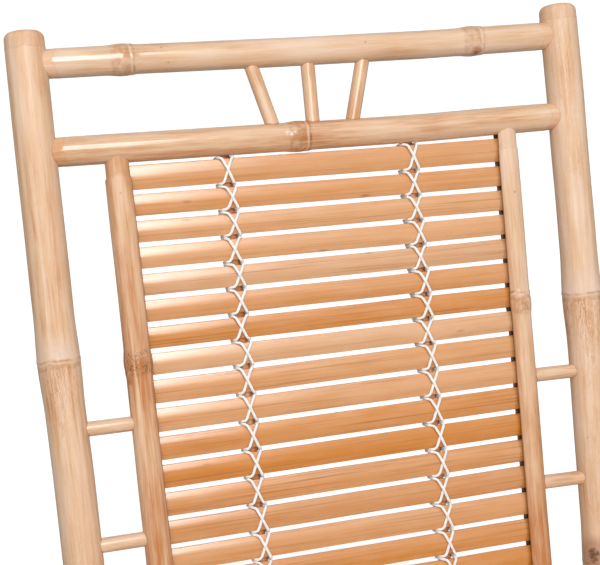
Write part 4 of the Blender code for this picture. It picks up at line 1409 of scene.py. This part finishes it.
class CHAIR_OT_battens(bpy.types.Operator):
    """Grow the round battens behind the back slats and under the seat slats"""

    bl_idname = "chair.battens"
    bl_label = "Battens"

    def execute(self, context):
        for name, side in SIDES.items():
            spread = side * BACK_LACING_SPREAD
            ends = [on_back(spread, down, -BATTEN_DEPTH) for down in (0.0, BACK_LENGTH)]
            path = span(*ends, RAIL_RADIUS, RAIL_RADIUS)
            grow(f"{name}_back_batten", path, BATTEN_RADIUS, ("crest_rail", "rear_seat_rail"), tone=0.95)
            spread = side * SEAT_LACING_SPREAD
            ends = [on_seat(spread, forward, -SEAT_BATTEN_DEPTH) for forward in (0.0, SEAT_DEPTH)]
            path = span(*ends, RAIL_RADIUS, RAIL_RADIUS)
            grow(f"{name}_seat_batten", path, BATTEN_RADIUS, ("rear_seat_rail", "front_seat_rail"),
                 facing=SEAT_UP, tone=0.75, nodes=["seat_slat_mat"])
        return {"FINISHED"}


class CHAIR_OT_slats(bpy.types.Operator):
    """Lay the slats of the back and of the seat"""

    bl_idname = "chair.slats"
    bl_label = "Slats"

    def execute(self, context):
        nodes = [f"back_slat_{number:02d}" for number in range(1, BACK_SLATS + 1)]
        gaps = slat_gaps(BACK_LENGTH, BACK_SLATS, NARROW_SLATS, NARROW_PITCH)
        held = PANEL_POLE_RADIUS - GROOVE_DEPTH + CLEARANCE
        lay_slats("back_slats", nodes, gaps, CREST, DOWN, OUT, narrow_count=NARROW_SLATS,
                  half_length=panel_x(0.0) - held, taper=-PANEL_TAPER, sway=-BACK_SLAT_SWAY,
                  panel_length=BACK_LENGTH, first_extra=FIRST_SLAT_EXTRA)
        gaps = slat_gaps(SEAT_DEPTH, SEAT_SLATS)
        held = SEAT_RAIL_RADIUS - GROOVE_DEPTH + CLEARANCE
        lay_slats("seat_slats", ["seat_slat_mat"], gaps, REAR, FORWARD, SEAT_UP, narrow_count=0,
                  half_length=side_x(REAR.z) - held, taper=SIDE_FLARE * FORWARD.z, sway=0.0,
                  panel_length=SEAT_DEPTH, first_extra=0.0)
        return {"FINISHED"}


class CHAIR_OT_lacing(bpy.types.Operator):
    """Lace the slats to their battens with white cord"""

    bl_idname = "chair.lacing"
    bl_label = "Lacing"

    def execute(self, context):
        gaps = slat_gaps(BACK_LENGTH, BACK_SLATS, NARROW_SLATS, NARROW_PITCH)
        gaps[0] -= FIRST_SLAT_EXTRA
        lace("back", on_back, BACK_LACING_SPREAD, gaps, sway)
        lace("seat", on_seat, SEAT_LACING_SPREAD, slat_gaps(SEAT_DEPTH, SEAT_SLATS), lambda along: 0.0)
        return {"FINISHED"}


class CHAIR_OT_stage(bpy.types.Operator):
    """Set up the floor, the light and the camera"""

    bl_idname = "chair.stage"
    bl_label = "Stage"

    def execute(self, context):
        scene = context.scene
        look = scene.chair.stage
        scene.view_settings.view_transform = "Standard"
        mesh = bpy.data.meshes.new("floor")
        corners = [(x * FLOOR_HALF, y * FLOOR_HALF, 0) for x, y in ((-1, -1), (1, -1), (1, 1), (-1, 1))]
        mesh.from_pydata(corners, [], [(0, 1, 2, 3)])
        mesh.materials.append(once(studio_floor, scene.chair.finish))
        put("floor", mesh)

        # Each lamp's place, width, height and power. The right one only fills, and no gloss shows it.
        aim = on_back(0, LAMP_AIM_DROP)
        lamps = {
            "key light": (Vector((-0.33, -1.32, 2.50)), 1.05, 1.32, look.key_power),
            "left light": (Vector((-1.80, -1.75, 1.50)), 1.2, 1.6, look.left_power),
            "right light": (Vector((1.15, -1.95, 1.45)), 1.2, 1.6, look.right_power),
        }
        for name, (place, width, height, power) in lamps.items():
            lamp = bpy.data.lights.new(name, "AREA")
            lamp.shape = "RECTANGLE"
            lamp.size = width
            lamp.size_y = height
            lamp.energy = power
            stand = put(name, lamp)
            stand.location = place
            stand.rotation_euler = (aim - place).to_track_quat("-Z", "Y").to_euler()
            stand.visible_glossy = name != "right light"

        # White to the camera. Gloss shows half of it from behind the chair and more of it from above.
        world = bpy.data.worlds.new("studio")
        world.use_nodes = True
        scene.world = world
        tree = world.node_tree
        add = partial(add_node, tree)
        way = add("ShaderNodeTexCoord").outputs["Generated"]
        way = add(SPLIT, (way,)).outputs
        behind = add(RANGE, (way["Y"], 0.0, 1.0, 0.0, 0.5))
        above = add(RANGE, (way["Z"], 0.40, 0.90, 0.0, 0.75))
        gloss = add(MATH, (behind, above), "MAXIMUM")
        strength = add(RANGE, (background_rays(add, gloss), 0.0, 1.0, look.sky, 1.0))
        connect(tree, tree.nodes["Background"], {"Color": (1.0, 1.0, 1.0, 1.0), "Strength": strength})

        lens = bpy.data.cameras.new("camera")
        lens.lens = look.lens
        camera = put("camera", lens)
        camera.location = CAMERA_PLACE
        level = math.cos(CAMERA_PITCH)
        sight = Vector((math.sin(CAMERA_YAW) * level, math.cos(CAMERA_YAW) * level, -math.sin(CAMERA_PITCH)))
        camera.rotation_euler = sight.to_track_quat("-Z", "Y").to_euler()
        scene.camera = camera
        return {"FINISHED"}


OPERATORS = (
    CHAIR_OT_rockers,
    CHAIR_OT_posts,
    CHAIR_OT_back_rails,
    CHAIR_OT_fan_struts,
    CHAIR_OT_back_poles,
    CHAIR_OT_spindles,
    CHAIR_OT_arms,
    CHAIR_OT_seat_rails,
    CHAIR_OT_battens,
    CHAIR_OT_slats,
    CHAIR_OT_lacing,
    CHAIR_OT_stage,
)


class CHAIR_PT_sidebar(bpy.types.Panel):
    """Lists the chair's pieces in the order they are made"""

    bl_idname = "CHAIR_PT_sidebar"
    bl_label = "Bamboo rocking chair"
    bl_space_type = "VIEW_3D"
    bl_region_type = "UI"
    bl_category = "Chair"

    def draw(self, context):
        for operator in OPERATORS:
            self.layout.operator(operator.bl_idname)


CLASSES = (CulmSettings, SlatSettings, LacingSettings, FinishSettings, StageSettings, ChairSettings,
           *OPERATORS, CHAIR_PT_sidebar)


def register():
    for one in CLASSES:
        bpy.utils.register_class(one)
    bpy.types.Scene.chair = PointerProperty(type=ChairSettings)


def unregister():
    del bpy.types.Scene.chair
    for one in reversed(CLASSES):
        bpy.utils.unregister_class(one)


def main():
    register()
    for name in [operator.bl_idname.split(".")[1] for operator in OPERATORS]:
        getattr(bpy.ops.chair, name)()


if __name__ == "__main__":
    main()
